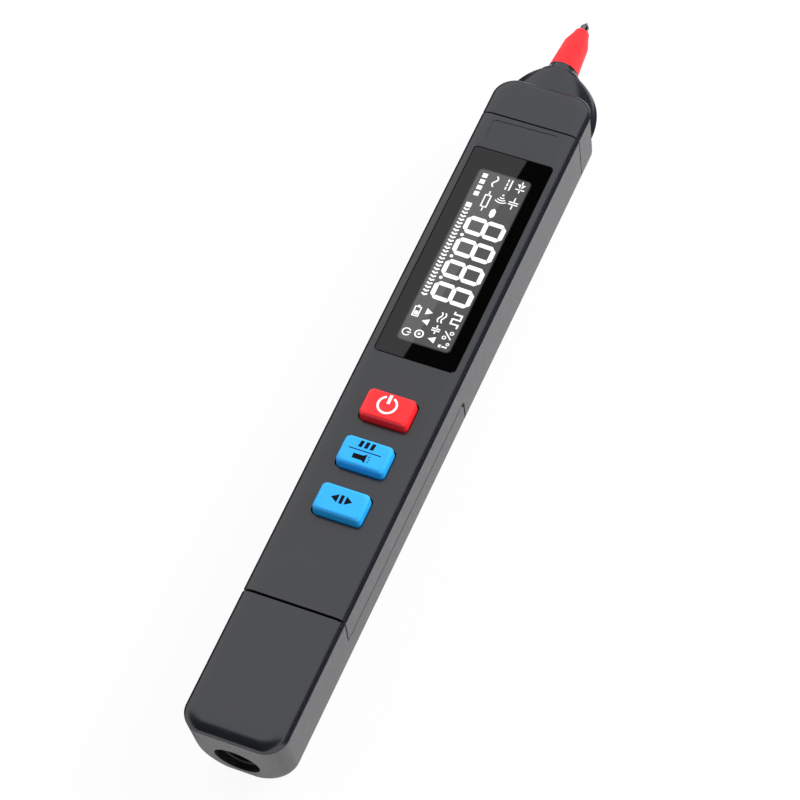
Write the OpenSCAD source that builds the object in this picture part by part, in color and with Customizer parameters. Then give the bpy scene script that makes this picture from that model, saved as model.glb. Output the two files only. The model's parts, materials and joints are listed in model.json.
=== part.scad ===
// Pen multimeter lying on its back: X across, Y from the socket end to the probe tip, Z up to the front face.

/* [Body] */
// Width of the body across the front
body_w = 22; // [21.6:0.2:25]
// Thickness from the resting back to the flat front face
body_t = 18.6; // [18.4:0.2:21]
// Wall of the housings
wall = 1.3; // [1.1:0.1:1.4]
// Height of the rounded front edge, which is the thickness of the front face too
crown_h = 1.3; // [1.1:0.1:1.5]
// Width of the rounded front edge
crown_w = 2.6; // [1.6:0.1:2.7]
// Radius of the long back edges
back_r = 6.3; // [5:0.1:6.6]
// Corner radius of the tail and of the nose plate, seen from the front
corner_r = 4.8; // [4:0.1:5.6]
// Length of the tail cap
tail_l = 31.7; // [31:0.1:36]
// Length of the body between the tail seam and the nose seam
main_l = 124; // [123.5:0.5:132]
// Slope of the tail end face in degrees
tail_tilt = 8.2; // [4:0.2:10]
// Rounding between the tail end face and the back
tail_round = 0.9; // [0.5:0.1:1.2]
// Width of the groove at the tail seam
tail_seam = 0.5; // [0.3:0.05:0.6]
// Width of the groove at the nose seam
nose_seam = 0.3; // [0.2:0.05:0.5]
// Clearance between fixed housing parts
part_fit = 0.15; // [0.1:0.05:0.25]

/* [Nose] */
// Length of the flat nose plate past the nose seam
plate_l = 10.5; // [9:0.1:11]
// Length of the full-depth back of the nose past the nose seam
block_l = 7; // [6.4:0.1:7.4]
// Rounding of the block's end
block_round = 1; // [0.6:0.1:1.4]
// Length of the dome from the block to the neck
dome_l = 9.9; // [9:0.1:10.2]
// Nose seam to the base of the red sleeve
neck_l = 18.4; // [17.6:0.1:21]
// Diameter of the neck where the sleeve seats
neck_d = 6.7; // [6.4:0.1:7.2]
// Depth of the probe axis below the front face
probe_drop = 4.2; // [4:0.1:4.8]
// Depth of the dome's front side below the front face
dome_front = 3.3; // [2.6:0.1:3.6]
// Depth of the dome's back side below the front face
dome_back = 12.8; // [11.5:0.1:13]
// Radius of the hollow between dome and neck
neck_flare = 0.8; // [0.4:0.1:0.8]

/* [Probe] */
// Length of the red sleeve
sleeve_l = 11.1; // [10.5:0.1:13]
// Diameter of the sleeve at its shoulder
sleeve_mid_d = 5.5; // [5.2:0.1:6]
// Neck end to the shoulder of the sleeve
sleeve_mid_l = 7.2; // [6.8:0.1:7.6]
// Diameter of the sleeve at its top
sleeve_top_d = 3.4; // [3.2:0.1:4]
// Diameter of the steel needle
needle_d = 1.9; // [1.7:0.1:2]
// Diameter of the needle's turned-down shank inside the sleeve and the nose
shank_d = 1.4; // [1.2:0.1:1.5]
// Bare needle past the sleeve, with its point
tip_l = 2.65; // [2.4:0.05:4]
// Length of the needle's point
point_l = 1.3; // [1:0.1:1.6]
// Length and diameter of the spigot that the sleeve is pushed on
spigot_l = 6; // [5:0.1:6.4]
spigot_d = 3.6; // [3.4:0.1:3.8]
// Running clearance of the sleeve on the spigot and the needle
sleeve_fit = 0.08; // [0.05:0.01:0.1]
// Diameter and length of the brass collet that grips the needle
collet_d = 3.2; // [3:0.1:3.4]
collet_l = 9; // [8:0.5:10]
// Clearance round pieces that are pressed into a bore
press_gap = 0.04; // [0.02:0.01:0.06]

/* [Battery cover] */
// Length of the cover's back tongue past the tail seam
tongue_l = 58.8; // [58:0.1:62]
// Height of the side parting line above the back
side_seam_z = 10.6; // [10:0.1:10.8]
// Width of the side parting line
side_seam = 0.25; // [0.2:0.05:0.35]
// Corner radius of the tongue's end
tongue_r = 1.4; // [1:0.1:2]
// Clearance of the sliding rails
slide_fit = 0.3; // [0.25:0.05:0.35]
// Thickness of each rail
rail_t = 0.7; // [0.6:0.05:0.8]
// Reach of each rail above the parting line
rail_h = 1.15; // [1.1:0.05:1.2]
// Reach of the rail's hook into the wall
rail_hook = 0.25; // [0.2:0.05:0.3]
// Height of the hook
hook_h = 0.4; // [0.3:0.05:0.45]
// Number, pitch and height of the grip ribs on the back
rib_n = 7; // [4:1:10]
rib_pitch = 1.8; // [1.5:0.1:2.4]
rib_depth = 0.35; // [0.2:0.05:0.5]
// Length of a grip rib across the back
rib_l = 7.4; // [5:0.2:8]

/* [Display] */
// Margin between the side of the body and the black display window
window_side = 2.1; // [2:0.05:2.4]
// Tail end of the window past the end of the cover's tongue
window_past = 1.7; // [1.4:0.1:3]
// Nose end of the window to the nose seam
window_nose = 9; // [8.5:0.1:9.5]
// Thickness of the window
window_t = 0.9; // [0.8:0.05:1]
// Corner radius of the window
window_r = 1; // [0.5:0.1:1.5]
// Gap round the window
window_gap = 0.1; // [0.05:0.01:0.15]
// Width of the ledge that carries the window
window_ledge = 1.2; // [1:0.1:1.6]
// Margins of the display glass inside the window, at its sides and at its ends
lcd_side = 1.7; // [1.6:0.05:2.1]
lcd_end = 2.75; // [2.4:0.05:3.5]
// Thickness of the display glass
lcd_t = 1.8; // [1.6:0.1:2]
// Gap between stacked display pieces
stack_gap = 0.05; // [0.03:0.01:0.08]
// Wall of the frame round the display
frame_t = 1; // [0.8:0.05:1.1]
// Lip of the frame over the edge of the glass
frame_lip = 0.9; // [0.6:0.1:1]
// Width of the rubber contact strip beside the backlight
strip_w = 1.8; // [1.5:0.1:2]

/* [Buttons] */
// Width and length of a button at its base
button_w = 10.8; // [10:0.1:11.2]
button_l = 7; // [6.6:0.1:7.4]
// Height of a button above the front face
button_h = 2.1; // [1.8:0.1:2.6]
// Middle of the power button to the tail end of the window
button_back = 13; // [11:0.1:13.5]
// Distance from one button to the next
button_pitch = 11.8; // [11.6:0.1:12]
// Corner radius of a button
button_r = 1.1; // [0.8:0.1:1.4]
// Rounding of a button's top edge
button_edge = 0.7; // [0.5:0.05:0.8]
// Draw-in of a button's sides towards the top
button_draft = 0.2; // [0.1:0.05:0.3]
// Gap round a button
button_gap = 0.2; // [0.15:0.05:0.25]
// Travel of a button
button_travel = 0.5; // [0.3:0.05:0.6]
// Width and thickness of the flange that keeps a button in
flange_w = 0.7; // [0.5:0.05:0.8]
flange_t = 0.7; // [0.6:0.05:0.8]
// Width, length and height of a key switch
switch_w = 6; // [5.5:0.1:6.2]
switch_l = 3.8; // [3.5:0.1:4.2]
switch_h = 1.6; // [1.5:0.05:1.7]
// Diameter of a key switch's plunger
plunger_d = 2.4; // [2:0.1:2.6]

/* [Board] */
// Height of the underside of the circuit board above the back
board_z = 12.8; // [12.7:0.05:12.9]
// Thickness of the circuit board
board_t = 1; // [0.8:0.05:1.1]
// Gap between the board and the side walls
board_gap = 0.4; // [0.3:0.05:0.5]
// Gap between the board and each seam
board_end = 2; // [1.8:0.1:2.4]
// Width and height of the ledges under the board
ledge_w = 1; // [0.8:0.05:1.1]
ledge_h = 0.8; // [0.7:0.05:0.85]

/* [Socket] */
// Height of the socket axis above the back
socket_z = 7; // [6.9:0.05:7.2]
// Diameter of the mouth in the tail end
mouth_d = 9.7; // [9.6:0.05:10]
// Depth of the insulator behind the tail end face
mouth_depth = 2; // [1.8:0.1:2.4]
// Outer and inner diameter of the insulator
shroud_d = 9.1; // [9:0.05:9.2]
shroud_bore = 7.9; // [7.8:0.05:8]
// End of the insulator's open bore to the tail seam
shroud_back = 5.2; // [5:0.1:6]
// Outer diameter of the brass contact
contact_d = 5.2; // [5:0.1:5.4]
// Bore of the brass contact, for a 4 mm plug
contact_bore = 4; // [3.9:0.05:4.1]
// Setback of the contact behind the insulator's edge
contact_back = 4; // [3:0.5:5]
// Solid end of the contact behind its bore
contact_floor = 2.8; // [2:0.1:4]

/* [Battery] */
// Diameter of the cell's can
cell_d = 10.3; // [10.1:0.1:10.4]
// End of the cover's tongue past the cell's button
cell_past = 9.1; // [8.9:0.1:10]
// Diameter and height of the cell's button
cap_d = 3.6; // [3.4:0.1:3.8]
cap_h = 1; // [0.8:0.1:1.2]
// Height of the cell's axis above the back
cell_z = 6.8; // [6.75:0.05:6.85]
// Tail seam to the flat end of the cell
cell_at = 5.4; // [5.2:0.1:6]
// Gap between the cell and its holder
cell_gap = 0.35; // [0.3:0.05:0.4]
// Thickness of the contact sheet
sheet_t = 0.3; // [0.25:0.05:0.35]
// Thickness of the holder's end walls
holder_wall = 1.2; // [1:0.1:1.3]
// Shank and head of a case screw
screw_d = 1.7; // [1.5:0.1:1.8]
screw_head_d = 2.8; // [2.6:0.1:2.9]
screw_head_h = 1.2; // [1:0.1:1.3]
// Axes of the screws inside the side walls
screw_in = 2.85; // [2.8:0.05:2.9]
// First pair of screws past the tail seam
screw_first = 6.5; // [6.4:0.1:7]
// Second pair of screws before the end of the cover's tongue
screw_last = 4.2; // [3.8:0.1:4.6]

/* [Torch] */
// Diameter and thickness of the torch lens
torch_d = 3.8; // [3.6:0.1:4]
torch_t = 1.2; // [1:0.1:1.4]
// Height of the torch axis above the back
torch_z = 3.3; // [3.2:0.05:3.5]
// Diameter of the light source behind the lens
led_d = 3; // [2.8:0.1:3.2]

/* [Hidden] */
$fn = 48;

// Colours as the photograph shows them
satin_black = [0.32, 0.32, 0.335];
side_black = [0.36, 0.36, 0.37];
gloss_black = [0.03, 0.03, 0.03];
key_red = [0.95, 0.2, 0.22];
key_blue = [0.22, 0.7, 0.95];
brass = [0.8, 0.65, 0.3];
steel = [0.75, 0.76, 0.78];

// Places along the body
total_l = tail_l + main_l + neck_l + sleeve_l + tip_l;
y_tail = -total_l / 2;
y_seam = y_tail + tail_l;
y_nose = y_seam + main_l;
y_neck = y_nose + neck_l;
y_sleeve = y_neck + sleeve_l;
y_tip = y_sleeve + tip_l;
y_tongue = y_seam + tongue_l;
y_block = y_nose + block_l;
window_l = y_nose - window_nose - y_tongue - window_past;
y_window = y_tongue + window_past + window_l / 2;
y_keys = [for (i = [0:2]) y_tongue + window_past - button_back - i * button_pitch];
y_screws = [y_seam + screw_first, y_tongue - screw_last];

// Heights and half widths
rail_top = side_seam_z + rail_h;
half_w = body_w / 2;
in_x = half_w - wall;
z_crease = body_t - crown_h;
z_probe = body_t - probe_drop;
board_top = board_z + board_t;
board_x = in_x - board_gap;
screw_x = in_x - screw_in;
window_w = body_w - 2 * window_side;

// One overrun serves every cut, and one thin slice every loft
over = 1;
slice_t = 0.02;
loft_steps = 9;
crown_steps = 6;
nose_share = 0.15;
back_steps = 9;
crown_points = [for (i = [0:crown_steps]) let (a = 90 * i / crown_steps)
    [crown_w * (1 - cos(a)), crown_h * sin(a)]];

// Extrudes a drawing in X and Z along the body
module along_y(y0, y1) {
    translate([0, y1, 0]) rotate([90, 0, 0]) linear_extrude(y1 - y0) children();
}

// Extrudes a drawing in Y and Z across the body
module along_x(x0, x1) {
    translate([x0, 0, 0]) rotate([90, 0, 90]) linear_extrude(x1 - x0) children();
}

// A block of a given half width, centred across the body
module block(x, y0, y1, z0, z1) {
    translate([-x, y0, z0]) cube([2 * x, y1 - y0, z1 - z0]);
}

// The same bar on both sides of the body
module side_bars(x0, x1, y0, y1, z0, z1) {
    for (side = [0, 1]) mirror([side, 0, 0]) translate([x0, y0, z0]) cube([x1 - x0, y1 - y0, z1 - z0]);
}

// A cylinder along the body, from y0 to y1
module rod(r, y0, y1, z) {
    translate([0, y0, z]) rotate([-90, 0, 0]) cylinder(r = r, h = y1 - y0);
}

// Cross-section with square front corners and round back corners
module section(x, z0, z1, r) {
    translate([-x, z0 + r]) square([2 * x, z1 - z0 - r]);
    translate([r - x, z0]) square([2 * (x - r), z1 - z0]);
    for (s = [-1, 1]) translate([s * (x - r), z0 + r]) circle(r);
}

// Cross-section of the rounded front face
module crown_section() {
    polygon(concat(
        [for (p = crown_points) [half_w - p[0], z_crease + p[1]]],
        [for (i = [crown_steps:-1:0]) [crown_points[i][0] - half_w, z_crease + crown_points[i][1]]]));
}

// Front view of a stretch of body with its corners rounded at the tail or at the nose end
module plan(x, y0, y1, r_tail, r_nose) {
    translate([-x, y0 + r_tail]) square([2 * x, y1 - y0 - r_tail - r_nose]);
    translate([r_tail - x, y0]) square([2 * (x - r_tail), (y1 - y0) / 2]);
    translate([r_nose - x, (y0 + y1) / 2]) square([2 * (x - r_nose), (y1 - y0) / 2]);
    if (r_tail > 0) for (s = [-1, 1]) translate([s * (x - r_tail), y0 + r_tail]) circle(r_tail);
    if (r_nose > 0) for (s = [-1, 1]) translate([s * (x - r_nose), y1 - r_nose]) circle(r_nose);
}

// Front face with its rounded edge running round the tail, or fading out at the steep edge of the nose
module crown_end(y0, y1, tail, nose) {
    hull() for (p = crown_points)
        translate([0, 0, min(z_crease + p[1], body_t - slice_t)]) linear_extrude(slice_t)
            plan(half_w - p[0], y0 + tail * p[0], y1 - nose * nose_share * p[0],
                tail * (corner_r - p[0] / 2), nose * (corner_r - p[0] / 2));
}

// Rounded rectangle
module pad(w, l, r) {
    square([w - 2 * r, l], center = true);
    square([w, l - 2 * r], center = true);
    for (i = [-1, 1], j = [-1, 1]) translate([i * (w / 2 - r), j * (l / 2 - r)]) circle(r);
}

// Form of the body below the crease from its tail on: the end face slopes forward towards the back, and
// the corners keep their radius as the back edges curve in
module tail_form(inset, y1) {
    r = back_r - inset;
    hull() {
        translate([0, 0, z_crease - slice_t]) linear_extrude(2 * slice_t + inset)
            plan(half_w - inset, y_tail + inset, y1, corner_r - inset, 0);
        for (i = [0:back_steps]) {
            a = 90 * i / back_steps;
            z = inset + r * (1 - sin(a));
            x = half_w - inset - r * (1 - cos(a));
            lift = max(0, tail_round - z + inset);
            fillet = tail_round - sqrt(tail_round * tail_round - lift * lift);
            translate([0, 0, z]) linear_extrude(slice_t)
                plan(x, y_tail + inset + (z_crease - z) * tan(tail_tilt) + fillet, y1,
                    min(corner_r - inset, x - slice_t), 0);
        }
    }
}

// Side view of the battery cover's tongue, grown by a clearance
module tongue_side(grow) {
    r = tongue_r + grow;
    top = side_seam_z + grow;
    end = y_tongue + grow;
    translate([y_tail - over, -over]) square([end - r - y_tail + over, top + over]);
    translate([y_tail - over, -over]) square([end - y_tail + over, top - r + over]);
    translate([end - r, top - r]) circle(r);
}

// U-shaped wall of the body, open at the front
module u_wall(y0, y1) {
    difference() {
        along_y(y0, y1) section(half_w, 0, z_crease, back_r);
        along_y(y0 - over, y1 + over) section(in_x, wall, z_crease + over, back_r - wall);
    }
}

// Front face with the window recess and the button apertures, screwed to the housing from the back
lip_t = 0.8;
lip_h = 1.2;
tab_x = 7;
tab_l = 2;
tab_t = 0.8;
module front_cover() {
    y0 = y_seam + tail_seam / 2;
    y1 = y_nose - nose_seam / 2;
    color(satin_black) difference() {
        union() {
            along_y(y0, y1) crown_section();
            side_bars(in_x - part_fit - lip_t, in_x - part_fit, y0 + tab_l, y1 - tab_l,
                z_crease - lip_h, z_crease);
            for (y = y_screws, s = [-1, 1]) translate([s * screw_x, y, board_top])
                cylinder(d = 2 * screw_d, h = z_crease - board_top);
            block(tab_x, y1 - tab_l, y1 + tab_l, z_crease - part_fit - tab_t, z_crease - part_fit);
            block(tab_x, y1 - tab_l, y1, z_crease - part_fit - tab_t, z_crease);
        }
        translate([0, y_window, body_t - window_t]) linear_extrude(window_t + over)
            pad(window_w + 2 * window_gap, window_l + 2 * window_gap, window_r);
        translate([0, y_window, z_crease - over]) linear_extrude(crown_h + 2 * over)
            pad(window_w - 2 * window_ledge, window_l - 2 * window_ledge, window_r);
        for (y = y_keys) translate([0, y, z_crease - over]) linear_extrude(crown_h + 2 * over)
            pad(button_w + 2 * button_gap, button_l + 2 * button_gap, button_r + button_gap);
        for (y = y_screws, s = [-1, 1]) translate([s * screw_x, y, board_top - over])
            cylinder(d = screw_d + 2 * press_gap, h = z_crease - board_top + over);
    }
}

// Tub of the body: one U-shaped shell, with its back cut away over the battery bay
bulkhead_t = 1.2;
collar_l = 2.2;
collar_t = 0.8;
flange_l = 1.6;
module main_housing() {
    y0 = y_seam + tail_seam / 2;
    y1 = y_nose - nose_seam / 2;
    x = in_x - slide_fit;
    low = wall + slide_fit;
    color(side_black) {
        difference() {
            union() {
                difference() {
                    u_wall(y0, y1);
                    along_x(-half_w - over, half_w + over) tongue_side(side_seam);
                }
                side_bars(in_x - ledge_w, in_x + part_fit, y0, y1 - 2 * board_end, board_z - ledge_h, board_z);
                block(in_x + part_fit, y0, y0 + bulkhead_t, side_seam_z + side_seam, board_z);
                along_y(y0, y0 + bulkhead_t) section(x, low, board_z, back_r - low);
                along_y(y_tongue + side_seam, y_tongue + side_seam + bulkhead_t)
                    section(in_x + part_fit, wall - part_fit, board_z, back_r - wall + part_fit);
                difference() {
                    along_y(y0 - tail_seam - collar_l, y0 + bulkhead_t)
                        section(x, low, z_crease - slide_fit, back_r - low);
                    along_y(y0 - tail_seam - collar_l - over, y0 + bulkhead_t + over)
                        section(x - collar_t, low + collar_t, z_crease + over, back_r - low - collar_t);
                }
            }
            // grooves for the cover's rails
            side_bars(x - rail_t - slide_fit, in_x, y0 - tail_seam - collar_l - over,
                y_tongue - tongue_r, side_seam_z - 2 * rail_h - slide_fit, rail_top + slide_fit / 2);
            side_bars(x, in_x + rail_hook + part_fit, y0 - over,
                y_tongue - tongue_r, rail_top - hook_h - part_fit, rail_top + slide_fit / 2);
            // way for the socket's solder tab
            block(contact_d / 2, y0 - over, y0 + bulkhead_t + over, socket_z - contact_d / 2, board_z + over);
        }
    }
}

// Point of an ellipse-like outline, with the exponent setting how square it is
function squircle(a, w, h, n) = [w * sign(cos(a)) * pow(abs(cos(a)), 2 / n),
    h * sign(sin(a)) * pow(abs(sin(a)), 2 / n)];

// Dome of the nose: ellipses that shrink and rise from the block to the neck, first squarer, then round
dome_square = 0.13;
dome_width_power = 0.83;
dome_height_power = 0.4;
function mix(a, b, t) = a + (b - a) * t;
module dome() {
    hull() for (i = [0:loft_steps]) {
        a = 90 * i / loft_steps;
        k = cos(a);
        w = mix(neck_d / 2, half_w, pow(k, dome_width_power));
        front = mix(z_probe + neck_d / 2, body_t - dome_front, pow(k, dome_height_power));
        back = mix(z_probe - neck_d / 2, body_t - dome_back, pow(k, dome_height_power));
        translate([0, y_block + dome_l * sin(a), (front + back) / 2]) rotate([90, 0, 0])
            linear_extrude(slice_t) polygon([for (b = [0:360 / $fn:359])
                squircle(b, w, (front - back) / 2, 2 + dome_square * k)]);
    }
}

// Nose cap: flat plate, full-depth block, dome and neck, with the spigot that carries the sleeve
module nose_cap() {
    y0 = y_nose + nose_seam / 2;
    pocket_r = collet_d / 2 + press_gap;
    color(satin_black) difference() {
        union() {
            crown_end(y0, y_nose + plate_l, 0, 1);
            translate([0, 0, z_crease - crown_h]) linear_extrude(crown_h + slice_t)
                plan(half_w, y0, y_nose + plate_l, 0, corner_r);
            hull() {
                along_y(y0, y_block - block_round) section(half_w, 0, z_crease, back_r);
                along_y(y0, y_block) section(half_w - block_round, block_round, z_crease, back_r - block_round);
            }
            dome();
            translate([0, y_block + dome_l, z_probe]) rotate([-90, 0, 0]) rotate_extrude() difference() {
                translate([0, -neck_flare]) square([neck_d / 2 + neck_flare, 2 * neck_flare]);
                translate([neck_d / 2 + neck_flare, neck_flare]) circle(neck_flare);
            }
            rod(neck_d / 2, y_block + dome_l - over, y_neck, z_probe);
            rod(spigot_d / 2, y_neck - over, y_neck + spigot_l, z_probe);
            along_y(y0 - nose_seam - collar_l, y0 + over)
                section(in_x - part_fit, wall + part_fit, board_z - ledge_h - part_fit, back_r - wall - part_fit);
        }
        // hollow behind the probe and the torch
        along_y(y0 - nose_seam - collar_l - over, y_block - 3 * wall)
            section(in_x - 2 * wall, torch_z + torch_d, z_crease - part_fit, wall);
        block(board_x + part_fit, y0 - over, y0 + tab_l + wall, z_crease - wall - tab_t, z_crease);
        rod(pocket_r, y_block - 3 * wall - over, y_block + wall, z_probe);
        rod(shank_d / 2 + press_gap, y_block, y_neck + spigot_l + over, z_probe);
        rod(torch_d / 2 + press_gap, y_block - torch_t, y_block + over, torch_z);
        rod(led_d / 2 + press_gap, y0 - nose_seam - collar_l - over, y_block, torch_z);
    }
}

// Battery cover: tail cap with the socket mouth and a long back tongue, in one piece
module battery_cover() {
    y1 = y_seam - tail_seam / 2;
    rail_x = in_x - slide_fit;
    color(side_black) {
        difference() {
            union() {
                crown_end(y_tail, y1, 1, 0);
                intersection() {
                    difference() {
                        tail_form(0, y_tongue + over);
                        tail_form(wall, y_tongue + 2 * over);
                        rod(mouth_d / 2, y_tail - over, y_tail + corner_r, socket_z);
                    }
                    along_x(-half_w - over, half_w + over) {
                        tongue_side(0);
                        translate([y_tail - over, -over]) square([y1 - y_tail + over, z_crease + slice_t + over]);
                    }
                }
            }
            // grip grooves near the end of the tongue
            for (i = [0:rib_n - 1])
                translate([-rib_l / 2, y_tongue - 3 * tongue_r - (i + 1) * rib_pitch, -over])
                    cube([rib_l, rib_pitch / 2, rib_depth + over]);
        }
        // rails that hook into the grooves of the housing
        for (side = [0, 1]) mirror([side, 0, 0]) translate([rail_x - rail_t, y_seam + collar_l, 0]) {
            l = tongue_l - 2 * collar_l - tongue_r;
            translate([0, 0, side_seam_z - 2 * rail_h]) cube([rail_t, l, 3 * rail_h]);
            translate([0, 0, side_seam_z - 2 * rail_h]) cube([rail_t + slide_fit + part_fit, l, rail_h]);
            translate([0, 0, rail_top - hook_h]) cube([rail_t + slide_fit + rail_hook, l, hook_h]);
        }
    }
}

// Black display window, flush in its recess
module display_window() {
    color(gloss_black) translate([0, y_window, body_t - window_t + stack_gap])
        linear_extrude(window_t - stack_gap) pad(window_w, window_l, window_r - window_gap);
}

// Display glass, its backlight, the frame round both, and the rubber strip that joins glass and board
lcd_w = window_w - 2 * lcd_side;
lcd_l = window_l - 2 * lcd_end;
lcd_z = z_crease - stack_gap - frame_t / 2 - lcd_t;
light_x = lcd_w / 2 - strip_w - 2 * stack_gap;
module lcd_panel() {
    color([0.35, 0.36, 0.37]) block(lcd_w / 2, y_window - lcd_l / 2, y_window + lcd_l / 2, lcd_z, lcd_z + lcd_t);
}
module lcd_backlight() {
    color([0.9, 0.92, 0.95]) translate([-lcd_w / 2, y_window - lcd_l / 2, board_top])
        cube([lcd_w / 2 + light_x, lcd_l, lcd_z - board_top - stack_gap]);
}
module lcd_contact_strip() {
    color([0.2, 0.2, 0.22]) translate([light_x + stack_gap, y_window - lcd_l / 2 + strip_w, board_top])
        cube([strip_w, lcd_l - 2 * strip_w, lcd_z - board_top]);
}
module lcd_frame() {
    x = lcd_w / 2 + stack_gap;
    l = lcd_l / 2 + stack_gap;
    top = lcd_z + lcd_t + stack_gap;
    color([0.15, 0.15, 0.16]) difference() {
        block(x + frame_t, y_window - l - frame_t, y_window + l + frame_t, board_top, top + frame_t / 2);
        block(x, y_window - l, y_window + l, board_top - over, top);
        block(x - frame_lip, y_window - l + frame_lip, y_window + l - frame_lip, board_top, top + over);
    }
}

// Circuit board, notched for the needle and drilled for the case screws
notch_l = 8;
module main_board() {
    color([0.1, 0.35, 0.2]) difference() {
        block(board_x, y_seam + board_end, y_nose - board_end, board_z, board_top);
        block(shank_d / 2 + part_fit, y_nose - board_end - notch_l, y_nose, board_z - over, board_top + over);
        for (y = y_screws, s = [-1, 1]) translate([s * screw_x, y, board_z - over])
            cylinder(d = screw_d + 2 * part_fit, h = board_t + 2 * over);
    }
}

// Button with drawn-in sides, a rounded top edge and a flange under the front face
edge_steps = 4;
module button(y) {
    flange_z = z_crease - part_fit - flange_t;
    top = body_t + button_h;
    translate([0, y, 0]) {
        hull() {
            translate([0, 0, flange_z]) linear_extrude(slice_t) pad(button_w, button_l, button_r);
            for (k = [0:edge_steps]) {
                a = 90 * k / edge_steps;
                pull = button_draft + button_edge * (1 - cos(a));
                translate([0, 0, top - button_edge * (1 - sin(a)) - slice_t]) linear_extrude(slice_t)
                    pad(button_w - 2 * pull, button_l - 2 * pull, button_r);
            }
        }
        translate([0, 0, flange_z]) linear_extrude(flange_t)
            pad(button_w + 2 * button_gap + 2 * flange_w, button_l + 2 * button_gap + 2 * flange_w, button_r);
    }
}
module power_button() { color(key_red) button(y_keys[0]); }
module light_button() { color(key_blue) button(y_keys[1]); }
module select_button() { color(key_blue) button(y_keys[2]); }

// Key switches: fixed bodies on the board and a plunger that moves with each button
plunger_top = z_crease - part_fit - flange_t;
plunger_r = plunger_d / 2;
plunger_in = 0.4;
module key_switches() {
    color([0.25, 0.25, 0.27]) for (y = y_keys) translate([0, y, board_top]) difference() {
        translate([-switch_w / 2, -switch_l / 2, 0]) cube([switch_w, switch_l, switch_h]);
        translate([0, 0, switch_h - plunger_in - button_travel - part_fit])
            cylinder(r = plunger_r + part_fit, h = switch_h);
    }
}
module plunger(y) {
    z0 = board_top + switch_h - plunger_in;
    color([0.85, 0.85, 0.8]) translate([0, y, z0])
        cylinder(r = plunger_r, h = plunger_top - z0);
}
module power_plunger() { plunger(y_keys[0]); }
module light_plunger() { plunger(y_keys[1]); }
module select_plunger() { plunger(y_keys[2]); }

// Steel needle: a turned-down shank, and from the sleeve's end on a thicker tip with its point
needle_back = 8.5;
module probe_needle() {
    color(steel) {
        rod(shank_d / 2, y_nose - needle_back, y_sleeve + slice_t, z_probe);
        rod(needle_d / 2, y_sleeve, y_tip - point_l, z_probe);
        translate([0, y_tip - point_l, z_probe]) rotate([-90, 0, 0]) cylinder(r1 = needle_d / 2, r2 = 0, h = point_l);
    }
}
module probe_collet() {
    y1 = y_block + wall - press_gap;
    color(brass) difference() {
        rod(collet_d / 2, y1 - collet_l, y1, z_probe);
        rod(shank_d / 2 + press_gap, y1 - collet_l - over, y1 + over, z_probe);
    }
}
clip_l = 3;
clip_w = 5;
module probe_clip() {
    y0 = y_nose - board_end - notch_l + clip_l / 2;
    top = z_probe + shank_d / 2 + 2 * sheet_t;
    color(brass) difference() {
        block(clip_w / 2, y0, y0 + clip_l, board_top, top);
        rod(shank_d / 2 + press_gap, y0 - over, y0 + clip_l + over, z_probe);
        block(shank_d / 2 + press_gap, y0 - over, y0 + clip_l + over, board_top - over, z_probe);
    }
}

// Red sleeve, pushed on the spigot of the nose cap and pulled off to bare the needle
module probe_sleeve() {
    round = sleeve_top_d / 4;
    color(key_red) translate([0, y_neck, z_probe]) rotate([-90, 0, 0]) rotate_extrude() difference() {
        union() {
            polygon([[0, 0], [neck_d / 2, 0], [sleeve_mid_d / 2, sleeve_mid_l],
                [sleeve_top_d / 2, sleeve_l - round], [sleeve_top_d / 2 - round / 3, sleeve_l - round / 3],
                [sleeve_top_d / 2 - round, sleeve_l], [0, sleeve_l]]);
        }
        translate([-over, -over]) square([over + spigot_d / 2 + sleeve_fit, spigot_l + sleeve_fit + over]);
        translate([-over, 0]) square([over + needle_d / 2 + sleeve_fit, sleeve_l + over]);
    }
}

// Common socket: brass contact for a 4 mm plug inside a deep insulator, so a shrouded plug fits
shroud_y = y_tail + (z_crease - socket_z) * tan(tail_tilt) + mouth_depth;
shroud_end = y_seam - shroud_back;
module com_insulator() {
    color([0.08, 0.08, 0.08]) difference() {
        union() {
            rod(shroud_d / 2, shroud_y, shroud_end + wall, socket_z);
            along_y(shroud_end, y_seam + tail_seam / 2)
                section(shroud_d / 2 + wall, socket_z - shroud_d / 2, socket_z + shroud_d / 2, wall);
        }
        rod(shroud_bore / 2, shroud_y - over, shroud_end, socket_z);
        rod(contact_d / 2 + press_gap, shroud_end - over, y_seam + over, socket_z);
    }
}
module com_contact() {
    y0 = shroud_y + contact_back;
    color(brass) difference() {
        rod(contact_d / 2, y0, shroud_end + wall, socket_z);
        rod(contact_bore / 2, y0 - over, shroud_end + wall - contact_floor, socket_z);
    }
}
tab_w = 3;
module com_tab() {
    y0 = shroud_end + wall;
    y1 = y_seam + tail_seam / 2 + bulkhead_t + sheet_t + part_fit;
    color(brass) {
        block(tab_w / 2, y0, y1, socket_z - sheet_t / 2, socket_z + sheet_t / 2);
        block(tab_w / 2, y1 - sheet_t, y1, socket_z - sheet_t / 2, board_z);
    }
}

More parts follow.
